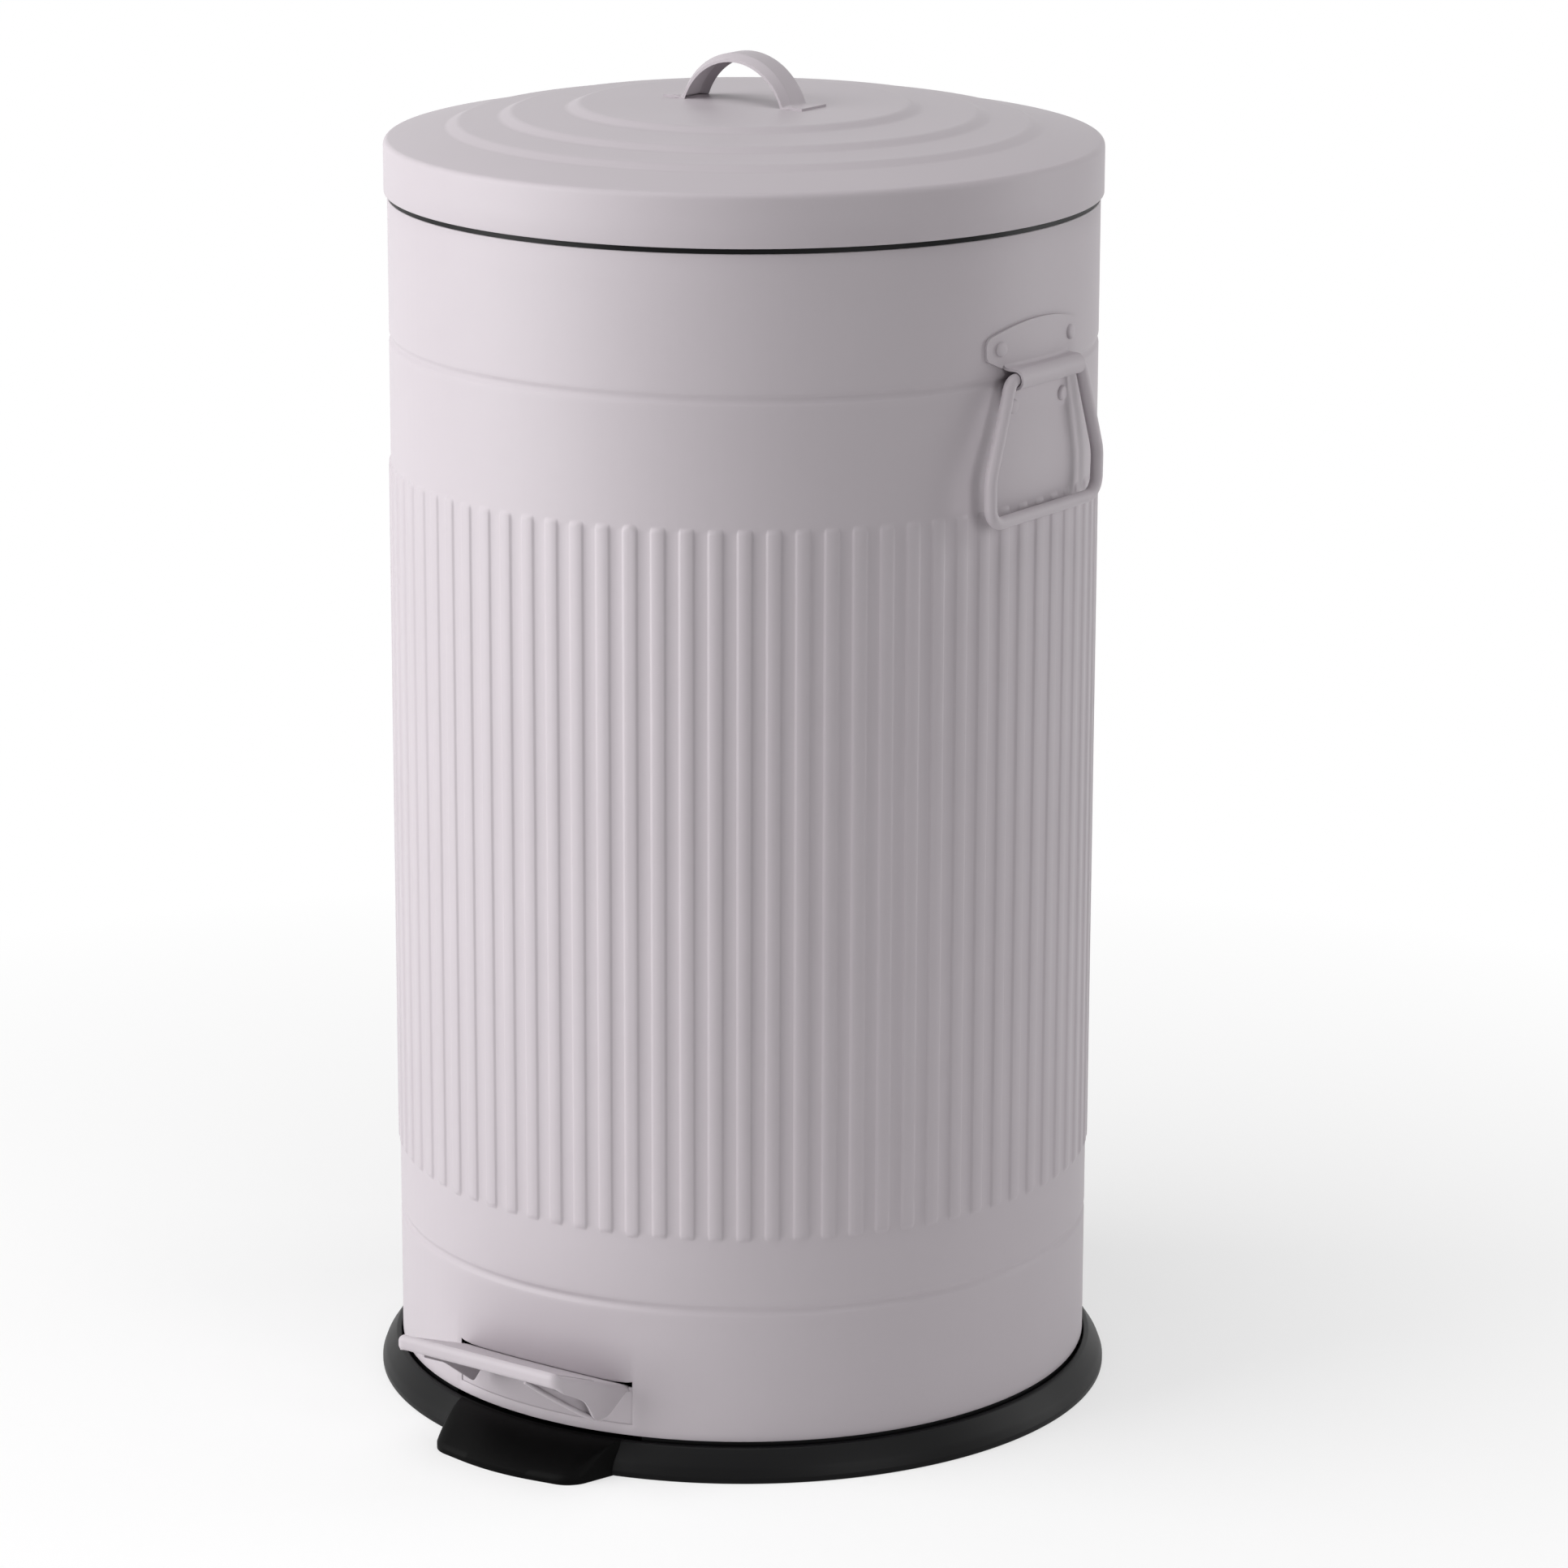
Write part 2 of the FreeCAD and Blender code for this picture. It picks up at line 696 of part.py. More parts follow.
def push_rod():
    """Upright rod with a cross tube at each end for its pins."""
    bottom_half = lever_half_width - lever_sheet - moving_gap
    shaft = post(rod_radius, rod_bottom_z, rod_top_z, 0, rod_y)
    eyes = [
        pin_x(rod_eye_radius, -bottom_half, bottom_half, rod_y, rod_bottom_z),
        pin_x(rod_eye_radius, -rod_top_eye_half_width, rod_top_eye_half_width, rod_y, rod_top_z),
    ]
    bores = [
        pin_x(rod_pin_radius + running_gap, -lever_half_width, lever_half_width, rod_y, rod_bottom_z),
        pin_x(rod_pin_radius + fixed_gap, -lever_half_width, lever_half_width, rod_y, rod_top_z),
    ]
    return shaft.fuse(eyes).cut(bores)


def rod_top_pin():
    """Cross pin at the top of the rod that runs in the slots of the lid's leaf."""
    return pin_x(rod_pin_radius, -rod_top_pin_half_length, rod_top_pin_half_length, rod_y, rod_top_z)


def headed_pin(radius, head_radius, head, half_length, y, z):
    """Pin along X with a flat head outside each end."""
    pin = pin_x(radius, -half_length, half_length, y, z)
    ends = [pin_x(head_radius, half_length, half_length + head, y, z)]
    ends.append(mirrored(ends[0]))
    return pin.fuse(ends)


def rod_bottom_pin():
    """Pin through the lever's fork and the rod's lower tube."""
    return headed_pin(rod_pin_radius, pedal_rivet_head_radius, axle_head, lever_half_width + fixed_gap,
                      rod_y, rod_bottom_z)


def pedal_rivet_places():
    """Rivet places on the pedal's tongue as (x, y)."""
    y = pedal_root_y + pedal_tongue_length / 2
    return [(side * pedal_rivet_spacing / 2, y) for side in (-1, 1)]


def pedal_lever():
    """Channel open below: level in front of the axle, then sloping down to the fork at the push rod."""
    front = pedal_root_y + lever_front_inset
    fork = rod_y - lever_eye_radius - rod_eye_radius
    fork_top = web_top - lever_slope * (fork - pivot_y)
    inner = lever_half_width - lever_sheet

    def profile(lowered, depth):
        upper = [(front, web_top), (pivot_y, web_top), (fork, fork_top)]
        lower = [(y, z - depth) for y, z in reversed(upper)]
        return [(y, z - lowered) for y, z in upper + lower]

    channel = slab_x(profile(0, lever_depth), -lever_half_width, lever_half_width)
    channel = channel.cut(slab_x(profile(lever_sheet, lever_depth), -inner, inner))
    prong = slab_x([
        (fork, fork_top), (rod_y, rod_bottom_z + lever_eye_radius),
        (rod_y, rod_bottom_z - lever_eye_radius), (fork, fork_top - lever_depth),
    ], inner, lever_half_width)
    prong = prong.fuse(pin_x(lever_eye_radius, inner, lever_half_width, rod_y, rod_bottom_z))
    cuts = [
        pin_x(axle_radius + running_gap, -lever_half_width, lever_half_width, pivot_y, pivot_height),
        pin_x(rod_pin_radius + fixed_gap, -lever_half_width, lever_half_width, rod_y, rod_bottom_z),
    ]
    for x, y in pedal_rivet_places():
        cuts.append(post(pedal_rivet_radius + fixed_gap, web_top - overrun, web_top + overrun, x, y))
    return channel.fuse([prong, mirrored(prong)]).cut(cuts).removeSplitter()


def pedal_top_z(y):
    """Height of the pedal's tilted top at a place y."""
    return pedal_root_z + pedal_slope * (pedal_root_y - y)


def pedal_plan(inset, rear, low, high):
    """Upright solid over the pedal's plan: tapered sides and round front corners, drawn in by inset."""
    at = at_z(low)
    front = pedal_front_y + inset
    root = pedal_root_half_width - inset
    nose = pedal_front_half_width - inset
    left = corner(at(-root, rear), at(-nose, front), at(0, front), pedal_corner - inset)
    right = corner(at(0, front), at(nose, front), at(root, rear), pedal_corner - inset)
    wire = trace(at(-root, rear), left[0], (left[1], left[2]), right[0], (right[1], right[2]),
                 at(root, rear), at(-root, rear))
    return slab(wire, Z, high - low)


def pedal_plate():
    """Stamped pedal: tilted top with a turned-down lip, a lobe on each side, a tongue and an apron."""
    apron_outer = body_inner - apron_inset
    rear = -math.sqrt(apron_outer ** 2 - pedal_root_half_width ** 2)
    at = at_x(-pedal_root_half_width)
    lip = at(pedal_front_y, pedal_front_z - pedal_lip)
    lobe = at(-body_radius - pedal_lobe_reach, pedal_root_z - pedal_lobe_drop)
    heel = at(-body_radius - pedal_heel_reach, pedal_root_z - pedal_heel_drop)
    sweep = (lip + lobe) / 2 + Vector(0, 0, pedal_sweep)
    round_off = (lobe + heel) / 2 - Vector(0, 0, pedal_lobe_bow)
    side = trace(at(rear, pedal_top_z(rear)), at(pedal_front_y, pedal_front_z), lip, (sweep, lobe),
                 (round_off, heel), at(rear, heel.z), at(rear, pedal_top_z(rear)))
    tray = slab(side, X, 2 * pedal_root_half_width)
    tray = tray.common(pedal_plan(0, rear, 0, pedal_front_z + overrun))
    under = slab_x([
        (pivot_y, pedal_top_z(pivot_y) - pedal_sheet),
        (pedal_front_y, pedal_front_z - pedal_sheet),
        (pedal_front_y, 0), (pivot_y, 0),
    ], -pedal_root_half_width, pedal_root_half_width)
    hollow = pedal_plan(pedal_sheet, rear + overrun, 0, pedal_front_z).common(under)
    tongue = box((-lever_half_width, pedal_root_y, web_top),
                 (lever_half_width, pedal_root_y + pedal_tongue_length, pedal_root_z))
    apron_low = pedal_root_z - apron_drop
    apron_high = pedal_root_z + pedal_slope * pedal_root_inset
    apron = drum(apron_outer, apron_low, apron_high)
    apron = apron.cut(drum(apron_outer - pedal_sheet, apron_low, apron_high))
    apron = apron.common(box((-apron_half_width, -body_radius, apron_low),
                             (apron_half_width, pivot_y, apron_high)))
    rivets = [post(pedal_rivet_radius + fixed_gap, 0, pedal_front_z, x, y) for x, y in pedal_rivet_places()]
    return tray.cut(hollow).fuse([tongue, apron]).cut(rivets).removeSplitter()


def pedal_rivets():
    """Two rivets that hold the pedal's tongue on the lever."""
    low = web_top - lever_sheet
    rivets = []
    for x, y in pedal_rivet_places():
        shank = post(pedal_rivet_radius, low, pedal_root_z, x, y)
        heads = [
            post(pedal_rivet_head_radius, pedal_root_z, pedal_root_z + pedal_rivet_head, x, y),
            post(pedal_rivet_head_radius, low - pedal_rivet_head, low, x, y),
        ]
        rivets.append(shank.fuse(heads))
    return Part.makeCompound(rivets)


def pivot_bracket():
    """Right-hand bracket on the base: an upright cheek with the axle's hole and a screwed foot."""
    outer = bracket_inner + bracket_sheet
    cheek = slab_x([
        (pivot_y - bracket_half_length, boss_top), (pivot_y + bracket_half_length, boss_top),
        (pivot_y + bracket_eye_radius, pivot_height), (pivot_y - bracket_eye_radius, pivot_height),
    ], bracket_inner, outer)
    eye = pin_x(bracket_eye_radius, bracket_inner, outer, pivot_y, pivot_height)
    foot = box((bracket_inner, pivot_y - bracket_half_length, boss_top),
               (outer + bracket_foot, pivot_y + bracket_half_length, boss_top + bracket_sheet))
    cuts = [pin_x(axle_radius + fixed_gap, 0, outer + overrun, pivot_y, pivot_height)]
    for x, y in bracket_screw_places():
        cuts.append(post(screw_radius + fixed_gap, 0, pivot_height, x, y))
    return cheek.fuse([eye, foot]).cut(cuts).removeSplitter()


def pivot_screws():
    """Four screws that hold the pivot brackets on the base's bosses."""
    seat = boss_top + bracket_sheet
    screws = []
    for x, y in bracket_screw_places():
        screw = post(screw_radius, seat - screw_length, seat, x, y)
        screw = screw.fuse(post(screw_head_radius, seat, seat + screw_head, x, y))
        screws += [screw, mirrored(screw)]
    return Part.makeCompound(screws)


def pedal_axle():
    """Steel axle held in the two brackets, on which the lever rocks."""
    half_length = bracket_inner + bracket_sheet + fixed_gap
    return headed_pin(axle_radius, axle_head_radius, axle_head, half_length, pivot_y, pivot_height)


def bucket_platform():
    """Round platform on legs that keeps the bucket above the lever."""
    low = platform_height - platform_sheet
    disc = drum(body_inner - platform_gap, low, platform_height)
    distance = body_inner - platform_leg_inset
    legs = []
    for index in range(platform_leg_count):
        angle = 2 * math.pi * index / platform_leg_count
        legs.append(post(platform_leg_radius, base_floor, platform_height,
                         distance * math.cos(angle), distance * math.sin(angle)))
    notch = box((-platform_notch_half_width, rod_y - rod_radius - platform_notch_gap, base_floor),
                (platform_notch_half_width, hinge_y, platform_height + overrun))
    return disc.fuse(legs).cut(notch).removeSplitter()


def bucket():
    """Tapered bucket with a flat back that clears the push rod, a turned-out rim and two bail ears."""
    low = Vector(0, 0, bucket_floor)
    height = bucket_rim_top - bucket_floor
    reach = Vector(body_radius, body_radius, 0)
    outer = Part.makeCone(bucket_bottom_radius, bucket_top_radius, height, low)
    rim_low = bucket_rim_top - bucket_rim_height
    outer = outer.fuse(drum(bucket_top_radius + bucket_rim, rim_low, bucket_rim_top))
    outer = outer.common(box((-reach.x, -reach.y, 0), (reach.x, bucket_back, body_top)))
    inner = Part.makeCone(bucket_bottom_radius - bucket_wall, bucket_top_radius - bucket_wall, height,
                          low + Vector(0, 0, bucket_wall))
    inner = inner.common(box((-reach.x, -reach.y, 0), (reach.x, bucket_back - bucket_wall, body_top)))
    ear_inner = bail_ear_x - bail_ear_sheet
    root_low = rim_low - bucket_rim_height
    root = box((ear_inner, -bail_ear_half_width, root_low),
               (bucket_top_radius - bucket_wall / 2, bail_ear_half_width, bucket_rim_top))
    ear = box((ear_inner, -bail_ear_half_width, root_low),
              (bail_ear_x, bail_ear_half_width, bail_axis_z + bail_ear_half_width)).fuse(root)
    shell = outer.cut(inner).fuse([ear, mirrored(ear)])
    return shell.cut(pin_x(bail_wire_radius + running_gap, -body_radius, body_radius, 0, bail_axis_z))


def wire_solid(route, radius):
    """Round bar of a radius along a route of tangent runs and arcs."""
    first = route.OrderedEdges[0]
    start = first.valueAt(first.FirstParameter)
    ring = Part.Circle(start, first.tangentAt(first.FirstParameter), radius)
    return route.makePipeShell([Part.Wire(ring.toShape())], True, False)


def bucket_bail():
    """Wire carrying handle folded to the front on the bucket's rim, its ends turned in through the ears."""
    at = at_z(bail_axis_z)
    end_x = bail_ear_x - bail_ear_sheet - bail_end
    centre = at(math.sqrt((bail_radius - bail_bend) ** 2 - bail_bend ** 2), -bail_bend)
    turn = Vector(centre.x, centre.y, 0).normalize()
    outward = (turn + Y).normalize()
    bend_start = centre + Y * bail_bend
    bend_middle = centre + outward * bail_bend
    bend_end = centre + turn * bail_bend

    def left(point):
        return Vector(-point.x, point.y, point.z)

    route = trace(at(-end_x, 0), left(bend_start), (left(bend_middle), left(bend_end)),
                  (at(0, -bail_radius), bend_end), (bend_middle, bend_start), at(end_x, 0))
    return wire_solid(route, bail_wire_radius)


def on_wall(outline, thickness):
    """Sheet of an upright outline on the right-hand side, bent to lie on the body's wall."""
    wedge = slab(outline, X, body_radius + overrun)
    low, high = 0, body_top
    return wedge.common(drum(plate_radius + thickness, low, high)).cut(drum(plate_radius, low, high))


def handle_plate():
    """Right-hand handle plate: an arched upper wing, a curl round the bail and a lower tab."""
    at = at_x(0)
    shoulder_low = plate_axis_z + plate_shoulder_low
    shoulder_high = plate_axis_z + plate_shoulder_high
    wing = trace(at(-curl_half_width, plate_axis_z), at(-plate_half_width, shoulder_low),
                 at(-plate_half_width, shoulder_high),
                 (at(0, plate_axis_z + plate_crown), at(plate_half_width, shoulder_high)),
                 at(plate_half_width, shoulder_low), at(curl_half_width, plate_axis_z),
                 at(-curl_half_width, plate_axis_z))
    low = plate_axis_z - tab_drop
    left = corner(at(-tab_half_width, plate_axis_z), at(-tab_half_width, low), at(0, low), tab_corner)
    right = corner(at(0, low), at(tab_half_width, low), at(tab_half_width, plate_axis_z), tab_corner)
    tab = trace(at(-tab_half_width, plate_axis_z), left[0], (left[1], left[2]),
                right[0], (right[1], right[2]), at(tab_half_width, plate_axis_z),
                at(-tab_half_width, plate_axis_z))
    curl = along_y(curl_outer, -curl_half_width, curl_half_width, grip_x, plate_axis_z)
    root = box((body_inner - plate_half_width, -curl_half_width, plate_axis_z - curl_outer),
               (grip_x, curl_half_width, plate_axis_z + curl_outer))
    bore = along_y(curl_inner, -plate_half_width, plate_half_width, grip_x, plate_axis_z)
    mouth = box((0, -plate_half_width, plate_axis_z - curl_inner),
                (grip_x, plate_half_width, plate_axis_z + curl_inner))
    roll = curl.fuse(root).cut(drum(plate_radius, 0, body_top))
    plate = on_wall(wing, plate_sheet).fuse([on_wall(tab, plate_sheet), roll]).cut([bore, mouth])
    return plate.cut([handle_rivet_hole(angle, z) for angle, z in handle_rivet_places()]).removeSplitter()


def handle_rivets():
    """Four round-headed rivets of the right-hand handle, square to the wall."""
    face = plate_radius + plate_sheet
    ball = (rivet_head_radius ** 2 + rivet_head ** 2) / (2 * rivet_head)
    rivets = []
    for angle, z in handle_rivet_places():
        head = Part.makeSphere(ball, Vector(face + rivet_head - ball, 0, z))
        head = head.common(pin_x(rivet_head_radius, face, face + rivet_head, 0, z))
        shank = pin_x(rivet_radius, body_inner - rivet_tail, face, 0, z)
        tail = pin_x(rivet_radius + rivet_tail, body_inner - rivet_tail, body_inner - fixed_gap, 0, z)
        rivet = head.fuse([shank, tail])
        rivet.rotate(ORIGIN, Z, angle)
        rivets.append(rivet)
    return Part.makeCompound(rivets)


def handle_bail():
    """Right-hand bell-shaped wire bail hanging from the handle plate's curl."""
    at = at_x(grip_x)
    foot = plate_axis_z - grip_drop
    half = rounded_route([
        at(0, plate_axis_z), at(grip_top_half_width, plate_axis_z),
        at(grip_hip_half_width, plate_axis_z - grip_hip_drop), at(grip_foot_half_width, foot), at(0, foot),
    ], [grip_top_bend, grip_hip_bend, grip_foot_bend])
    bail = wire_solid(half, grip_radius)
    return bail.fuse(bail.mirror(ORIGIN, Y)).removeSplitter()


def save(name, shape):
    """Writes one piece to its own file."""
    shape.exportStep(os.path.join("parts", name + ".step"))


def save_pair(name, shape):
    """Writes a right-hand piece and its left-hand twin."""
    save(name + "_right", shape)
    save(name + "_left", mirrored(shape))


os.makedirs("parts", exist_ok=True)
for piece in (
    body_shell, base_moulding, rim_ring, lid_shell, lid_handle, lid_bumpers, lid_hinge_leaf,
    hinge_block, hinge_screws, hinge_pin, push_rod, rod_top_pin, rod_bottom_pin,
    pedal_lever, pedal_plate, pedal_rivets, pivot_screws, pedal_axle,
    bucket_platform, bucket, bucket_bail,
):
    save(piece.__name__, piece())
for piece in (pivot_bracket, handle_plate, handle_rivets, handle_bail):
    save_pair(piece.__name__, piece())
save("rod_guide_upper", rod_guide(body_top - upper_guide_drop))
save("rod_guide_lower", rod_guide(base_groove_floor + lower_guide_rise))
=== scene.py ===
import json
import math

import bmesh
import bpy
import numpy as np
from mathutils import Matrix


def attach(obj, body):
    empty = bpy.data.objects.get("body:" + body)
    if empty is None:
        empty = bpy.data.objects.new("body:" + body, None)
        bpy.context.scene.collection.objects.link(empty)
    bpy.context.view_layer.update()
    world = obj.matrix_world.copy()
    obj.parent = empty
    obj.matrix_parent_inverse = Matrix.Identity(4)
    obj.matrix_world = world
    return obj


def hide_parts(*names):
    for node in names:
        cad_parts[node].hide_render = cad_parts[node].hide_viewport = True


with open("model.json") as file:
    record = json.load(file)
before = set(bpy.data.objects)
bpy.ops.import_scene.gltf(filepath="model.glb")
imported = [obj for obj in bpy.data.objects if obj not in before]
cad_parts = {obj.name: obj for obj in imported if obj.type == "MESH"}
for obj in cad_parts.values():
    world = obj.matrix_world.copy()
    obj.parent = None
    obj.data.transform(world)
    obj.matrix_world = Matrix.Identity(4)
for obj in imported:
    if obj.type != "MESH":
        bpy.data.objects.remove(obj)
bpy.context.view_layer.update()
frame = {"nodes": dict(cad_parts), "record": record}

# Lengths are in millimetres and become metres where a mesh is made. Angles on the body are counted from the
# front, which is -Y, towards +X.
MM = 0.001
# Slack for comparing values that were worked out in two ways
TINY = 1e-6

# Body: sheet, rolled grooves, ribs, the pedal's opening and the hinge's notch
BODY_RADIUS = 156.0
BODY_LOW = 15.8
BODY_HIGH = 538.3
WALL = 0.8
GROOVES = (76.0, 477.0)
GROOVE_DEPTH = 0.9
GROOVE_FLAT = 0.2
GROOVE_HALF = 2.6
RIBS = 80
RIB_LOW = 107.0
RIB_HIGH = 423.0
RIB_FLAT = 2.4
RIB_FOOT = 3.75
RIB_RISE = 0.85
OPENING_HALF = 47.6
OPENING_LOW = 20.6
OPENING_HIGH = 41.8
NOTCH_HALF = 12.0
NOTCH_LOW = BODY_HIGH - 11.0
# A cut edge of sheet is rounded: at EDGE_ROUND[::-1] from the edge its faces draw in by EDGE_ROUND.
EDGE_ROUND = np.array([0.4, 0.12, 0.0])

# Lid: each step starts at a radius and a depth below the middle
LID_RADIUS = BODY_RADIUS + 1.5
LID_LOW = BODY_HIGH + 2.4
LID_TOP = LID_LOW + 38.0
LID_STEPS = ((72.2, 0.2), (101.8, 3.9), (125.0, 8.1))
STEP_WIDTH = 5.2
STEP_FALL = 2.4
STEP_ROUND = 8.0
LID_EDGE_FALL = 15.2
LID_EDGE_ROUND = 3.0
LID_NOTCH_HALF = NOTCH_HALF + 0.5
LID_NOTCH_HIGH = LID_LOW + 17.5

# Pedal: its top rises from the root at the wall to the front
PEDAL_ROOT_Y = 7.0 - BODY_RADIUS
PEDAL_ROOT_Z = 38.8
PEDAL_FRONT_Y = -42.0 - BODY_RADIUS
PEDAL_FRONT_Z = PEDAL_ROOT_Z + 19.0
PEDAL_ROOT_HALF = 46.0
PEDAL_FRONT_HALF = 45.0
PEDAL_LIP = 7.0
PEDAL_SHEET = 1.2
APRON_RADIUS = BODY_RADIUS - WALL - 0.3
APRON_LOW = 17.0
APRON_HALF = OPENING_HALF + 2.0

# Base: floor, locating wall inside the body, groove for the body's edge, bosses for screws, and the toe
BASE_RADIUS = BODY_RADIUS + 9.5
BASE_FLOOR = 3.0
LOCATING_IN = BODY_RADIUS - 3.6
LOCATING_OUT = BODY_RADIUS - 1.1
LOCATING_HIGH = 16.0
SEAT_RADIUS = BODY_RADIUS + 0.3
SEAT_FLOOR = 5.0
POCKET_HALF = APRON_HALF + 1.5
BOSS_X = 24.6
BOSS_YS = (-80.0, -64.0)
TOE_FRONT = -15.0 - BASE_RADIUS
TOE_BOW = 3.5
TOE_HALF = 38.5
TOE_CREST_HALF = 44.5
TOE_ROOT_HALF = 47.0

# Side handles: the wire's pin line is along Y, and the rivets' places (y, z) are counted from its middle
GRIP_X = BODY_RADIUS + 4.5
GRIP_Y = -3.2
GRIP_Z = 478.0
WIRE_RADIUS = 2.75
PLATE_SHEET = 1.2
PLATE_GAP = 0.1
WING_HALF = 34.0
CURL_HALF = 24.0
CURL_RADIUS = WIRE_RADIUS + PLATE_SHEET
WING_RIVET = (26.0, 12.7)
TAB_RIVET = (18.5, -12.6)


# Mesh helpers

def quads(rows, cols, wrap=False):
    """Corner numbers of the faces of a grid of points, as an array of rows by columns by four."""
    i = np.arange(rows - 1)[:, None]
    j = np.arange(cols if wrap else cols - 1)[None, :]
    k = (j + 1) % cols
    corners = np.broadcast_arrays(i * cols + j, i * cols + k, (i + 1) * cols + k, (i + 1) * cols + j)
    return np.stack(corners, -1)


def surface(points, wrap=False):
    """One grid of points as (points, faces); with wrap its last column joins the first."""
    rows, cols = points.shape[:2]
    return points.reshape(-1, 3), quads(rows, cols, wrap).reshape(-1, 4)


def sheet(outer, inner, wrap=False, keep=None, seam=False):
    """Sheet between two grids of the same size: both faces, and a strip along every open border and hole.
    With seam the first row folds onto itself and is welded, so it gets no strip."""
    rows, cols = outer.shape[:2]
    faces = quads(rows, cols, wrap)
    faces = (faces if keep is None else faces[keep]).reshape(-1, 4)
    count = rows * cols
    ends = np.stack([faces, np.roll(faces, -1, axis=1)], -1).reshape(-1, 2)
    forward = ends[:, 0] * count + ends[:, 1]
    backward = ends[:, 1] * count + ends[:, 0]
    rim = ends[~np.isin(forward, backward)]
    if seam:
        rim = rim[(rim >= cols).any(1)]
    strip = np.stack([rim[:, 1], rim[:, 0], rim[:, 0] + count, rim[:, 1] + count], -1)
    points = np.concatenate([outer.reshape(-1, 3), inner.reshape(-1, 3)])
    return points, np.concatenate([faces, faces[:, ::-1] + count, strip])


def turned(radius, height, angles):
    """Profile turned about Z: at angle a the point is (r sin a, -r cos a, z)."""
    radius, height = np.broadcast_arrays(radius, height)
    return np.stack([radius * np.sin(angles), -radius * np.cos(angles), height + 0 * angles], -1)


def signed(angles):
    """The same angles between minus and plus half a turn."""
    return (angles + math.pi) % (2 * math.pi) - math.pi


def middles(angles):
    """Angle half-way from each of a full turn's sorted angles to the next."""
    gap = (np.roll(angles, -1) - angles) % (2 * math.pi)
    return signed(angles + gap / 2)


def unit(vectors):
    """Vectors along the last axis, each divided by its length."""
    return vectors / np.linalg.norm(vectors, axis=-1, keepdims=True)


def offset(profile, distance):
    """Flat curve moved to the left of its direction by a distance."""
    step = unit(np.gradient(profile, axis=0))
    return profile + distance * np.stack([-step[:, 1], step[:, 0]], -1)


def bent(points, radii, steps=10):
    """Flat route through points: straight runs joined by arcs of the given radii at the inner points."""
    points = np.asarray(points, float)
    run = [points[:1]]
    for before, here, after, radius in zip(points, points[1:], points[2:], radii):
        back = unit(before - here)
        ahead = unit(after - here)
        half = math.acos(float(back @ ahead)) / 2
        centre = here + unit(back + ahead) * radius / math.sin(half)
        start = here + back * radius / math.tan(half) - centre
        end = here + ahead * radius / math.tan(half) - centre
        sweep = math.pi - 2 * half
        t = np.linspace(0, 1, steps)[:, None]
        run.append(centre + (np.sin((1 - t) * sweep) * start + np.sin(t * sweep) * end) / math.sin(sweep))
    run.append(points[-1:])
    return np.concatenate(run)


def spread(path, count):
    """The same route with its points evenly spaced along it."""
    length = np.concatenate([[0], np.cumsum(np.linalg.norm(np.diff(path, axis=0), axis=1))])
    even = np.linspace(0, length[-1], count)
    return np.stack([np.interp(even, length, column) for column in path.T], -1)


def hump(distance, flat, edge):
    """1 within flat of the middle, falling along a cosine to 0 at edge."""
    share = np.clip((np.abs(distance) - flat) / (edge - flat), 0, 1)
    return 0.5 + 0.5 * np.cos(math.pi * share)


def both_ways(half):
    """Distances from a middle line, given for one side from 0 outward, on both sides of it."""
    return np.concatenate([-half[:0:-1], half])


def tube(path, normal, radius, sides=24, closed=False):
    """Round bar: circles square to a flat path, whose plane has the given normal. A closed path runs back
    to its start; any other gets flat ends."""
    step = np.roll(path, -1, axis=0) - np.roll(path, 1, axis=0) if closed else np.gradient(path, axis=0)
    normal = np.asarray(normal, float)
    across = np.cross(unit(step), normal)[:, None]
    angle = np.linspace(0, 2 * math.pi, sides, endpoint=False)[None, :, None]
    rings = path[:, None] + radius * (np.cos(angle) * across + np.sin(angle) * normal)
    if closed:
        return surface(np.concatenate([rings, rings[:1]]), wrap=True)
    first = np.repeat(path[:1, None], sides, axis=1)
    last = np.repeat(path[-1:, None], sides, axis=1)
    return surface(np.concatenate([first, rings, last]), wrap=True)


def block(low, high, radius, steps=4):
    """Sides and rounded edges of a box: each of the eight octants of a small ball is moved to its own
    corner. The level faces above and below are left open."""
    low, high = np.asarray(low, float), np.asarray(high, float)
    quarter = np.linspace(0, math.pi / 2, steps)
    around = (np.arange(4)[:, None] * math.pi / 2 + quarter).ravel()
    climb = np.concatenate([quarter - math.pi / 2, quarter])[:, None]
    level = np.cos(climb)
    ball = np.broadcast_arrays(level * np.cos(around), level * np.sin(around), np.sin(climb))
    sign_x = np.repeat([1, -1, -1, 1], steps)
    sign_y = np.repeat([1, 1, -1, -1], steps)
    sign_z = np.repeat([-1, 1], steps)[:, None]
    sign = np.stack(np.broadcast_arrays(sign_x, sign_y, sign_z), -1)
    corner = (low + high) / 2 + sign * ((high - low) / 2 - radius)
    return surface(corner + radius * np.stack(ball, -1), wrap=True)


def mirrored(part):
    """The same points and faces on the other side of the plane x = 0."""
    points, faces = part
    return points * (-1, 1, 1), faces[:, ::-1]


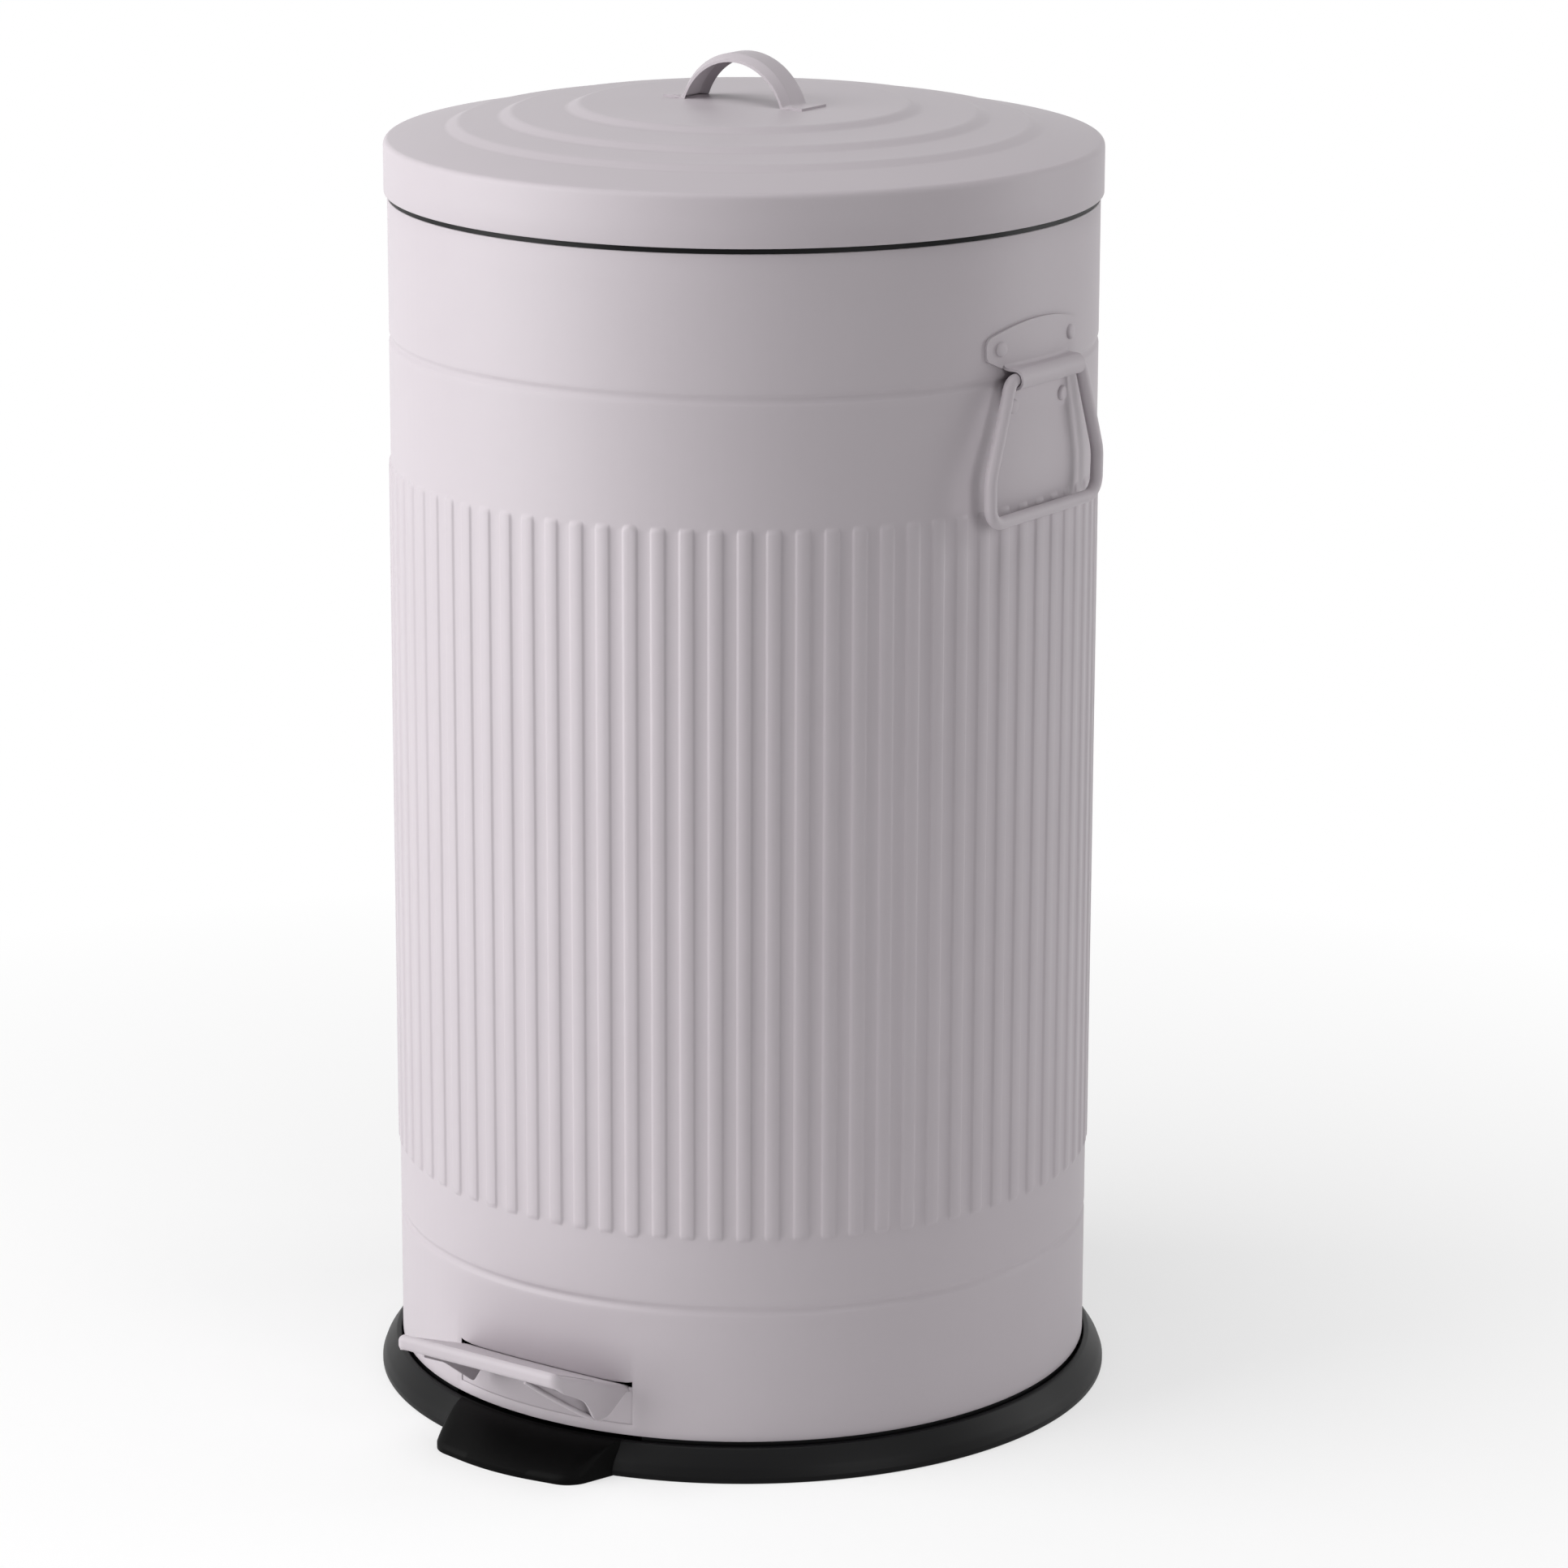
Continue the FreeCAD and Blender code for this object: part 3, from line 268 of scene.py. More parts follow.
def piece(name, parts, body, nodes, material, sharp=50):
    """Mesh object of several surfaces: welds poles and seams, turns faces outward, and hangs it on a body in
    place of the drawing's nodes. Edges sharper than the given degrees stay sharp."""
    weld = 2e-6
    points, faces, start = [], [], 0
    for part_points, part_faces in parts:
        points.append(part_points)
        faces.append(part_faces + start)
        start += len(part_points)
    mesh = bpy.data.meshes.new(name)
    mesh.from_pydata(np.concatenate(points) * MM, [], np.concatenate(faces))
    work = bmesh.new()
    work.from_mesh(mesh)
    bmesh.ops.remove_doubles(work, verts=work.verts, dist=weld)
    bmesh.ops.recalc_face_normals(work, faces=work.faces)
    work.to_mesh(mesh)
    work.free()
    mesh.shade_smooth()
    mesh.set_sharp_from_angle(angle=math.radians(sharp))
    mesh.materials.append(material)
    made = bpy.data.objects.new(name, mesh)
    bpy.context.scene.collection.objects.link(made)
    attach(made, body)
    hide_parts(*nodes)


# Materials

def linear(hex_colour):
    """sRGB hex colour as linear RGBA."""
    values = [int(hex_colour[i:i + 2], 16) / 255 for i in (1, 3, 5)]
    return [v / 12.92 if v <= 0.04045 else ((v + 0.055) / 1.055) ** 2.4 for v in values] + [1.0]


def node(tree, kind, inputs=(), **settings):
    """Adds a node with its settings; an input is set to a value, or linked where the value is a socket."""
    made = tree.nodes.new(kind)
    for key, value in settings.items():
        setattr(made, key, value)
    for key, value in dict(inputs).items():
        if isinstance(value, bpy.types.NodeSocket):
            tree.links.new(value, made.inputs[key])
        else:
            made.inputs[key].default_value = value
    return made


def finish(name, pale, deep, patch_mm, gloss, swing, grain_mm, depth_mm, specular=0.5, metallic=0.0,
           stretch=(1, 1, 1)):
    """Surface that drifts between two close colours in soft patches of a size, with a roughness that swings
    with them, and a fine grain raised by a depth. Stretch shortens the pattern along an axis."""
    material = bpy.data.materials.new(name)
    material.use_nodes = True
    tree = material.node_tree
    shader = tree.nodes["Principled BSDF"]
    place = node(tree, "ShaderNodeTexCoord").outputs["Object"]
    place = node(tree, "ShaderNodeMapping", {"Vector": place, "Scale": stretch}).outputs["Vector"]
    patch = node(tree, "ShaderNodeTexNoise", {"Vector": place, "Scale": 1 / (patch_mm * MM), "Detail": 3.0})
    grain = node(tree, "ShaderNodeTexNoise", {"Vector": place, "Scale": 1 / (grain_mm * MM), "Detail": 1.0})
    colour = node(tree, "ShaderNodeMix", {0: patch.outputs["Fac"], 6: linear(deep), 7: linear(pale)},
                  data_type="RGBA")
    rough = node(tree, "ShaderNodeMapRange", {
        "Value": patch.outputs["Fac"], "To Min": gloss - swing, "To Max": gloss + swing})
    bump = node(tree, "ShaderNodeBump", {
        "Height": grain.outputs["Fac"], "Distance": depth_mm * MM, "Strength": 1.0})
    tree.links.new(colour.outputs[2], shader.inputs["Base Color"])
    tree.links.new(rough.outputs["Result"], shader.inputs["Roughness"])
    tree.links.new(bump.outputs["Normal"], shader.inputs["Normal"])
    shader.inputs["Metallic"].default_value = metallic
    shader.inputs["Specular IOR Level"].default_value = specular
    return material


# Powder coat sprayed and baked on sheet steel: satin, with a faint orange peel that breaks up reflections.
powder = finish("powder_coat_sprayed_on_steel", "#bab3b8", "#b6afb4", patch_mm=60, gloss=0.45, swing=0.02,
                grain_mm=1.4, depth_mm=0.006, specular=0.2)
# Black polypropylene from a fine-grained mould: deep black with a soft sheen on its edges.
black = finish("black_polypropylene_moulded", "#060607", "#040405", patch_mm=25, gloss=0.42, swing=0.04,
               grain_mm=0.6, depth_mm=0.01, specular=0.12)
# Same plastic where the foot stands: coarser grain, duller; its darker colour and weaker sheen are painted
# shade.
tread_with_painted_shade = finish("black_polypropylene_grained_painted_shade", "#040404", "#020202", patch_mm=20, gloss=0.5, swing=0.05,
               grain_mm=0.9, depth_mm=0.02, specular=0.05)
# Dark grey polypropylene of the bucket, from a matt mould: dull, with broad faint flow marks.
grey = finish("grey_polypropylene_moulded", "#3d3d40", "#363639", patch_mm=40, gloss=0.55, swing=0.05,
              grain_mm=0.8, depth_mm=0.015)
# Bright zinc plating on drawn and stamped steel: a greyish metal with fine lengthwise drawing marks.
zinc = finish("zinc_plated_steel", "#c9cac8", "#b4b5b4", patch_mm=8, gloss=0.34, swing=0.06,
              grain_mm=0.5, depth_mm=0.004, metallic=1.0, stretch=(6, 6, 1))
# Moulded rubber of the bumpers: dull black with a chalky bloom.
rubber = finish("rubber_moulded", "#242424", "#1a1a1a", patch_mm=6, gloss=0.8, swing=0.05,
                grain_mm=0.4, depth_mm=0.02)
finishes = {"powder_coat": powder, "black_plastic": black, "bucket_plastic": grey, "zinc_steel": zinc,
            "rubber": rubber}


# Body

def pedal_top(y):
    """Height of the pedal's top face: a straight slope from its root to its front."""
    slope = (PEDAL_FRONT_Z - PEDAL_ROOT_Z) / (PEDAL_ROOT_Y - PEDAL_FRONT_Y)
    return PEDAL_ROOT_Z + slope * (PEDAL_ROOT_Y - y)


def body_shell():
    """Wall of radius r(a, z): the body's radius, less a cosine groove at two heights, plus a cosine-sided,
    round-ended rib over the distance from each rib's line. The pedal's opening and the hinge's notch are
    left out. The opening's edge is drawn in, and its upper side follows the pedal's top and rises at the
    corners."""
    draw_height, draw_depth, lining_depth, shade_height = 1.2, 0.65, 0.05, 16.2
    pedal_gap, corner_rise, corner_power = 0.05, 1.8, 10
    pitch = 2 * math.pi / RIBS
    opening = math.asin(OPENING_HALF / BODY_RADIUS)
    beside_opening = opening + draw_height / BODY_RADIUS
    notch = math.asin(NOTCH_HALF / BODY_RADIUS)
    flank = np.linspace(RIB_FLAT, RIB_FOOT, 4) / BODY_RADIUS
    on_ribs = (np.arange(RIBS)[:, None] * pitch + np.concatenate([-flank[::-1], flank])).ravel()
    on_cuts = [-beside_opening, -opening, opening, beside_opening, math.pi - notch, math.pi + notch]
    angles = np.sort(np.concatenate([on_ribs, on_cuts]) % (2 * math.pi))
    from_front = np.abs(signed(angles))

    # One more row above the opening, and on either side of a groove, keeps their shading off the plain wall.
    on_groove = GROOVE_HALF * np.concatenate([[-1.5], np.linspace(-1, 1, 9), [1.5]])
    rib_end = RIB_FOOT * (1 - np.cos(np.linspace(0, math.pi / 2, 7)))
    on_opening = [OPENING_LOW - draw_height, OPENING_LOW, OPENING_HIGH, OPENING_HIGH + draw_height,
                  OPENING_HIGH + shade_height]
    heights = np.concatenate([
        BODY_LOW + EDGE_ROUND[::-1], on_opening, GROOVES[0] + on_groove, RIB_LOW + rib_end,
        RIB_HIGH - rib_end[::-1], GROOVES[1] + on_groove, [NOTCH_LOW], BODY_HIGH - EDGE_ROUND])
    radii = BODY_RADIUS - GROOVE_DEPTH * sum(hump(heights - z, GROOVE_FLAT, GROOVE_HALF) for z in GROOVES)
    lining = radii - WALL
    drawn = np.zeros(len(heights))
    drawn[:3] = EDGE_ROUND
    drawn[-3:] = EDGE_ROUND[::-1]
    beside = ((angles / pitch + 0.5) % 1 - 0.5) * pitch * BODY_RADIUS
    middle = (RIB_LOW + RIB_HIGH) / 2
    beyond = np.maximum(np.abs(heights - middle) - (RIB_HIGH - middle - RIB_FOOT), 0)
    rise = RIB_RISE * hump(np.hypot(beside, beyond[:, None]), RIB_FLAT, RIB_FOOT)

    rows = heights[:, None] + 0 * angles
    within = (from_front < opening + TINY) & (rows > OPENING_LOW - TINY) & (rows < OPENING_HIGH + TINY)
    share = np.clip(from_front / opening, 0, 1)
    brow = pedal_top(-BODY_RADIUS * np.cos(share * opening)) + pedal_gap
    brow = brow + corner_rise * share ** corner_power
    above = (rows > OPENING_HIGH - TINY) & (rows < OPENING_HIGH + draw_height + TINY)
    rows = rows + (brow - OPENING_HIGH) * (above & (from_front < beside_opening + TINY))
    outer = turned((radii - drawn)[:, None] + rise - draw_depth * within, rows, angles)
    inner = turned((lining + drawn)[:, None] - lining_depth * within, rows, angles)

    centre = np.abs(middles(angles))
    level = (heights[:-1] + heights[1:])[:, None] / 2
    in_opening = (centre < opening) & (level > OPENING_LOW) & (level < OPENING_HIGH)
    in_notch = (math.pi - centre < notch) & (level > NOTCH_LOW)
    return sheet(outer, inner, wrap=True, keep=~(in_opening | in_notch))


piece("ribbed_body", [body_shell()], "root", ["body_shell"], powder)


# Lid

def lid_shell():
    """Turned profile with rounded corners: a nearly level middle, three short steps each with a sloping
    ring after it, a round edge and a straight skirt. The lining is the same profile moved in by the sheet.
    The hinge's notch is left out at the back."""
    corners = [(0, LID_TOP)]
    for radius, depth in LID_STEPS:
        corners += [(radius, LID_TOP - depth), (radius + STEP_WIDTH, LID_TOP - depth - STEP_FALL)]
    corners += [(LID_RADIUS, LID_TOP - LID_EDGE_FALL), (LID_RADIUS, LID_NOTCH_HIGH)]
    top = bent(corners, [STEP_ROUND] * 2 * len(LID_STEPS) + [LID_EDGE_ROUND], 7)
    # One more row in the skirt keeps the shading of its rounded edge near that edge.
    shade_end = LID_NOTCH_HIGH - 6.2
    hem = LID_LOW + EDGE_ROUND
    skirt = np.concatenate([[shade_end], hem])
    profile = np.concatenate([top, np.stack([np.full(len(skirt), LID_RADIUS), skirt], -1)])
    lining = offset(profile, -WALL)
    lining[0, 0] = 0
    profile[-3:, 0] = LID_RADIUS - EDGE_ROUND[::-1]
    lining[-3:, 0] = LID_RADIUS - WALL + EDGE_ROUND[::-1]
    lining[-3:, 1] = hem
    notch = math.asin(LID_NOTCH_HALF / LID_RADIUS)
    angles = np.linspace(0, 2 * math.pi, 200, endpoint=False)
    angles = np.sort(np.concatenate([angles, [math.pi - notch, math.pi + notch]]))
    level = (profile[:-1, 1] + profile[1:, 1])[:, None] / 2
    in_notch = (math.pi - np.abs(middles(angles)) < notch) & (level < LID_NOTCH_HIGH)
    outer, inner = (turned(p[:, :1], p[:, 1:], angles) for p in (profile, lining))
    return sheet(outer, inner, wrap=True, keep=~in_notch)


def lid_handle():
    """Strap carried along an arc with flat feet. Across it the section is flat with both long edges folded
    down (a ramp with a softened corner), and the folds die out in the feet."""
    span, rise, thick, lie = 28.6, 20.4, 1.2, 0.05
    arch_end, knee_round, foot_reach, foot_fall = math.radians(68), 1.8, 8.5, 0.3
    flat, half_width, fold, soften = 5.2, 9.0, 2.4, 0.25
    fold_end, fold_fade = 0.5, 2.4
    radius = (span ** 2 + rise ** 2) / (2 * rise)
    floor = LID_TOP + thick / 2 + lie
    turn = np.linspace(0, arch_end, 26)
    arch = np.stack([radius * np.sin(turn), floor + rise - radius + radius * np.cos(turn)], -1)
    down = np.array([math.cos(arch_end), -math.sin(arch_end)])
    knee = arch[-1] + down * (arch[-1, 1] - floor) / math.sin(arch_end)
    foot = bent([arch[-1], knee, knee + (foot_reach, -foot_fall)], [knee_round], 8)
    toe = np.linspace(0, 1, 5)[1:, None]
    foot = np.concatenate([foot[1:-1], foot[-2] + toe * (foot[-1] - foot[-2])])
    right = np.concatenate([arch, foot])
    route = np.concatenate([(right * (-1, 1))[:0:-1], right])
    on_foot = np.concatenate([np.zeros(len(arch)), np.linspace(0, 1, len(foot))])
    on_foot = np.concatenate([on_foot[:0:-1], on_foot])[:, None]
    # Columns crowd at the fold, by a sine hyperbolic of an even spacing.
    even = np.linspace(-math.asinh(flat / soften), math.asinh((half_width - flat) / soften), 11)
    across = both_ways(flat + soften * np.sinh(even))
    past = np.abs(across) - flat
    drop = fold / (half_width - flat) * (past + np.sqrt(past ** 2 + soften ** 2)) / 2
    drop = drop * np.clip(fold_fade * (fold_end - on_foot), 0, 1)
    step = unit(np.gradient(route, axis=0))
    up = np.stack([-step[:, 1], step[:, 0]], -1)[:, None]

    def face(level):
        place = route[:, None] + up * (level * thick / 2 - drop)[..., None]
        return np.stack([place[..., 0], across + 0 * drop, place[..., 1]], -1)

    return sheet(face(1), face(-1))


piece("domed_lid", [lid_shell()], "lid", ["lid_shell"], powder)
piece("lid_strap", [lid_handle()], "lid", ["lid_handle"], powder, sharp=40)


# Pedal

def from_root(corners):
    """Points (y, z) given as distances from the pedal's root."""
    return np.array(corners) + (PEDAL_ROOT_Y, PEDAL_ROOT_Z)


def pedal_low(y):
    """Height of the right flange's lower edge: from the lip down a bent line to a round lobe, then up to
    the wall."""
    lip = [(PEDAL_FRONT_Y, PEDAL_FRONT_Z - PEDAL_LIP)]
    lobe = from_root([(-29.0, 1.4), (-22.6, -9.9), (-13.5, -9.6), (-1.0, -2.0), (3.0, -1.6)])
    edge = bent(np.concatenate([lip, lobe]), [14, 4.5, 9, 6])
    return np.interp(y, edge[:, 0], edge[:, 1])


def pedal_plate():
    """Upside-down tray: each row runs from the middle line out to the plan's outline, over a round edge,
    down a flange to the lower edge and, along the front, round a hem that turns under. The left flange is
    as low as the lip, and less where it passes through the wall; the right one goes down to the lobe."""
    bend, corner, behind_wall, wall_flange = 2.8, 5.0, 2.0, 4.6
    hem, hem_whole, hem_end, hem_turn = 2.4, 1.5, 5.5, math.radians(80)
    fan_y = PEDAL_FRONT_Y + 26.0
    rear = PEDAL_ROOT_Y + behind_wall
    plan = bent([(-PEDAL_ROOT_HALF, rear), (-PEDAL_FRONT_HALF, PEDAL_FRONT_Y),
                 (PEDAL_FRONT_HALF, PEDAL_FRONT_Y), (PEDAL_ROOT_HALF, rear)], [corner, corner], 12)
    plan = spread(plan, 181)
    out = plan - offset(plan, 1.0)
    middle = np.stack([np.zeros(len(plan)), np.maximum(plan[:, 1], fan_y)], -1)
    high = pedal_top(plan[:, 1])
    left_low = np.maximum(high - PEDAL_LIP, PEDAL_ROOT_Z - wall_flange)
    low = np.where(plan[:, 0] > 0, pedal_low(plan[:, 1]), left_low)
    share = np.sin(np.linspace(0, math.pi / 2, 5))[:, None, None]
    turn = np.linspace(0, math.pi / 2, 8)[1:, None]
    fall = np.linspace(0, 1, 6)[1:, None]
    under = np.linspace(0, hem_turn, 7)[1:, None] * hump(plan[:, 1] - PEDAL_FRONT_Y, hem_whole, hem_end)

    def face(inset):
        flat = middle + share * (plan - bend * out - middle)
        edge = (bend - (bend - inset) * np.sin(turn)) + 0 * high
        edge_z = high - bend + (bend - inset) * np.cos(turn)
        foot = low + hem * np.sin(under[-1])
        flange_z = high - bend + fall * (foot - high + bend)
        roll = inset + (hem - inset) * (1 - np.cos(under))
        roll_z = foot - (hem - inset) * np.sin(under)
        inward = np.concatenate([edge, np.full(flange_z.shape, inset), roll])
        xy = np.concatenate([flat, plan - inward[..., None] * out])
        z = np.concatenate([pedal_top(flat[..., 1]) - inset, edge_z, flange_z, roll_z])
        return np.concatenate([xy, z[..., None]], -1)

    return sheet(face(0), face(PEDAL_SHEET), seam=True)


def pedal_web():
    """Inner wall beside the right flange, and from its foot a ruled web, hollowed by a sine, to a beaded
    hem that runs from the front lip to the lobe and sags by a sine."""
    start, length, gap, taper, seat = PEDAL_FRONT_Y + 2.5, 24.0, 0.3, 3.2, 0.4
    hem_x, hem_out, hem_fall, hem_sag, bead = 25.5, 19.0, 20.6, 0.8, 1.2
    hem_z = PEDAL_FRONT_Z - PEDAL_LIP - gap
    hollow = np.array([0, 4.0, 4.0])
    thickness = np.array([0, 0.6, 0.8])
    t = np.linspace(0, 1, 16)[:, None]
    y = start + length * t
    slope = (PEDAL_ROOT_HALF - PEDAL_FRONT_HALF) / (PEDAL_ROOT_Y - PEDAL_FRONT_Y)
    half = PEDAL_FRONT_HALF + slope * (y - PEDAL_FRONT_Y) - PEDAL_SHEET - gap - taper * (1 - t)
    edge = np.concatenate([half, y, pedal_low(y) + seat], -1)
    upper = np.concatenate([half, y, pedal_top(y) - PEDAL_SHEET / 2], -1)
    hem = np.concatenate([hem_x + hem_out * t, y, hem_z - hem_fall * t - hem_sag * np.sin(math.pi * t)], -1)
    share = np.linspace(0, 1, 6)[None, :, None]
    web = edge[:, None] * (1 - share) + hem[:, None] * share + np.sin(math.pi * share) * hollow
    face = np.concatenate([upper[:, None], web], 1)
    square = unit(np.cross(hem[-1] - hem[0], (0, 0, 1)))
    return [sheet(face, face + thickness), tube(hem, square, bead, 12)]


def pedal_gusset():
    """Upright web under the pedal's left half: from the lip its lower edge sweeps down to a lobe at the
    wall."""
    right_face = -29.4
    edge = bent(from_root([(-47.5, 11.0), (-33.0, 4.2), (-13.0, -10.4), (-4.5, -3.8)]), [10, 1.5], 8)
    y = np.linspace(edge[0, 0], edge[-1, 0], 44)
    high = pedal_top(y) - PEDAL_SHEET / 2
    low = np.interp(y, edge[:, 0], edge[:, 1])
    z = high + np.linspace(0, 1, 5)[:, None] * (low - high)
    near, far = (np.stack(np.broadcast_arrays(x, y, z), -1) for x in (right_face, right_face - PEDAL_SHEET))
    return sheet(near, far)


def pedal_apron():
    """Curved plate behind the body's opening that goes up and down with the pedal."""
    half = math.asin(APRON_HALF / APRON_RADIUS)
    angles = np.linspace(-half, half, 40)
    heights = np.linspace(APRON_LOW, PEDAL_ROOT_Z - PEDAL_SHEET, 3)[:, None]
    return sheet(turned(APRON_RADIUS, heights, angles), turned(APRON_RADIUS - PEDAL_SHEET, heights, angles))


def pedal_tongue():
    """Flat tongue with rounded edges from the pedal's root inward to the lever, hidden inside the body. Like
    every block it is open above and below."""
    half, overlap, reach, thick, edge = 16.0, 1.0, 38.0, 1.18, 0.4
    low = (-half, PEDAL_ROOT_Y - overlap, PEDAL_ROOT_Z - thick)
    return block(low, (half, PEDAL_ROOT_Y + reach, PEDAL_ROOT_Z), edge)


pedal = [pedal_plate(), pedal_gusset(), pedal_apron(), pedal_tongue()] + pedal_web()
piece("stamped_pedal", pedal, "pedal", ["pedal_plate"], powder, sharp=40)


# Base

def base_ring():
    """Turned profile with rounded corners: floor, locating wall, the groove that holds the body, a lip and
    a flared foot. The locating wall is left out behind the pedal, where the apron goes down."""
    lip_in, lip_out, lip_width = 14.5, 14.0, 2.7
    flare, foot, foot_slope, margin = 6.5, 2.5, 1.5, 0.3
    profile = bent([
        (0, BASE_FLOOR), (LOCATING_IN, BASE_FLOOR), (LOCATING_IN, LOCATING_HIGH),
        (LOCATING_OUT, LOCATING_HIGH), (LOCATING_OUT, SEAT_FLOOR), (SEAT_RADIUS, SEAT_FLOOR),
        (SEAT_RADIUS, lip_in), (SEAT_RADIUS + lip_width, lip_out), (BASE_RADIUS - foot_slope, flare),
        (BASE_RADIUS, foot), (BASE_RADIUS, 0), (0, 0),
    ], [0.5, 0.6, 0.6, 0.4, 0.4, 0.8, 1.4, 10, 2.2, 0.6], 5)
    pocket = math.asin(POCKET_HALF / APRON_RADIUS)
    step = math.radians(0.05)
    angles = np.linspace(0, 2 * math.pi, 220, endpoint=False)
    sides = np.array([-pocket - step, -pocket, pocket, pocket + step])
    angles = np.sort(np.concatenate([angles, sides % (2 * math.pi)]))
    radius, height = profile[:, :1], profile[:, 1:]
    on_wall = (radius > LOCATING_IN - margin) & (radius < LOCATING_OUT + margin)
    in_pocket = on_wall & (np.abs(signed(angles)) < pocket + step / 2)
    height = np.where(in_pocket, np.minimum(height, SEAT_FLOOR), height)
    return surface(turned(radius, height, angles), wrap=True)


def base_toe():
    """Foot in front: each row rises from the outline on the floor over a low upright edge and a face that
    swells as a power of a sine, to the ring's lip. Past the front corners the rows fan out and leave a
    crease and a side facet. The underside is the same grid at floor height."""
    lip_radius, lip, lip_overlap, edge, root = BODY_RADIUS + 2.0, 14.2, 4.0, 2.6, 4.0 - BODY_RADIUS
    corner_round, front_round, swell_power, corner_inset = 13, 110, 0.9, 2.0
    corners = [(-TOE_ROOT_HALF, root), (-TOE_HALF, TOE_FRONT), (0, TOE_FRONT - 2 * TOE_BOW),
               (TOE_HALF, TOE_FRONT), (TOE_ROOT_HALF, root)]
    floor = spread(bent(corners, [corner_round, front_round, corner_round], 14), 141)
    crest_x = floor[:, 0] * TOE_CREST_HALF / (TOE_HALF - corner_inset)
    crest_x = np.clip(crest_x, -TOE_CREST_HALF, TOE_CREST_HALF)
    crest = np.stack([crest_x, -np.sqrt(lip_radius ** 2 - crest_x ** 2)], -1)
    swell = np.linspace(0, 1, 14)[:, None]
    face = floor + (crest - floor) * swell[..., None]
    face_z = edge + (lip - edge) * np.sin(swell * math.pi / 2) ** swell_power + 0 * crest_x
    inside = crest * (lip_radius - lip_overlap) / lip_radius
    xy = np.concatenate([floor[None], floor[None], face, inside[None]])
    z = np.concatenate([[0 * crest_x], [edge / 2 + 0 * crest_x], face_z, [lip + 0 * crest_x]])
    outer = np.concatenate([xy, z[..., None]], -1)
    return sheet(outer, outer * (1, 1, 0))


def boss(x, y):
    """Round boss on the base's floor under a bracket screw."""
    high, radius, sunk = 8.0, 5.0, 1.0
    return tube(np.array([(x, y, BASE_FLOOR - sunk), (x, y, high)]), (1, 0, 0), radius)


bosses = [boss(x, y) for x in (-BOSS_X, BOSS_X) for y in BOSS_YS]
piece("moulded_base", [base_ring()] + bosses, "root", ["base_moulding"], black)
# The toe takes the darker copy of the black plastic: painted shade.
piece("moulded_toe", [base_toe()], "root", ["base_moulding"], tread_with_painted_shade)


# Side handles

def handle_plate():
    """Plate on the wall: rows run down from an arched upper edge to a bend, out round the wire and back to
    the wall in a tab. Columns beyond the curl belong to the wing alone, whose lower edge slopes up to round
    corners."""
    lie, bend, reach = PLATE_GAP + PLATE_SHEET / 2, 2.2, GRIP_X - BODY_RADIUS
    top_high, top_fall, top_corner = 23.3, 5.91, 2.6
    wing_rise, wing_corner = 4.6, 1.4
    tab_depth, tab_corner = 18.0, 2.6
    free_from, free_over = 1.5, 2.5
    outside = np.linspace(CURL_HALF, WING_HALF, 12)[1:]
    across = both_ways(np.concatenate([np.linspace(0, CURL_HALF, 13), outside]))

    def shoulder(half, radius):
        share = np.clip((np.abs(across) - half + radius) / radius, 0, 1)
        return radius * (1 - np.sqrt(1 - share ** 2))

    beyond = np.clip((np.abs(across) - CURL_HALF) / (WING_HALF - CURL_HALF), 0, 1)
    top = top_high - top_fall * (across / WING_HALF) ** 2 - shoulder(WING_HALF, top_corner)
    wing_low = CURL_RADIUS + wing_rise * beyond + shoulder(WING_HALF, wing_corner)
    low = np.where(beyond > 0, wing_low, CURL_RADIUS + bend)
    rows = np.linspace(0, 1, 12)[:, None]
    wing_z = top + rows * (low - top)
    turn = np.linspace(math.pi / 2, -math.pi / 2, 16)[:, None]
    curl = np.concatenate([reach + CURL_RADIUS * np.cos(turn), CURL_RADIUS * np.sin(turn)], -1)
    over = bent([(lie, CURL_RADIUS + bend), (lie, CURL_RADIUS), curl[0]], [bend], 6)[1:-1]
    back = bent([curl[-1], (lie, -CURL_RADIUS), (lie, -CURL_RADIUS - bend)], [bend], 6)[1:-1]
    route = np.concatenate([over, curl, back])
    tab_low = shoulder(CURL_HALF, tab_corner) - tab_depth
    tab_z = route[-1, 1] + rows[1:] * (tab_low - route[-1, 1])
    wall = np.sqrt(BODY_RADIUS ** 2 - (GRIP_Y + across) ** 2)

    def face(side):
        run = offset(route, side * PLATE_SHEET / 2)
        on_wall = lie + side * PLATE_SHEET / 2
        out = np.concatenate([np.full(wing_z.shape, on_wall), run[:, :1] + 0 * across,
                              np.full(tab_z.shape, on_wall)])
        z = np.concatenate([wing_z, run[:, 1:] + 0 * across, tab_z])
        free = np.clip((out - free_from) / free_over, 0, 1)
        x = (1 - free) * wall + free * BODY_RADIUS + out
        return np.stack([x, GRIP_Y + across + 0 * z, GRIP_Z + z], -1)

    outer = face(1)
    in_curl = np.abs(across[:-1] + across[1:]) / 2 < CURL_HALF
    keep = np.ones((len(outer) - 1, len(across) - 1), bool)
    keep[len(rows) - 1:] = in_curl
    return sheet(outer, face(-1), keep=keep)


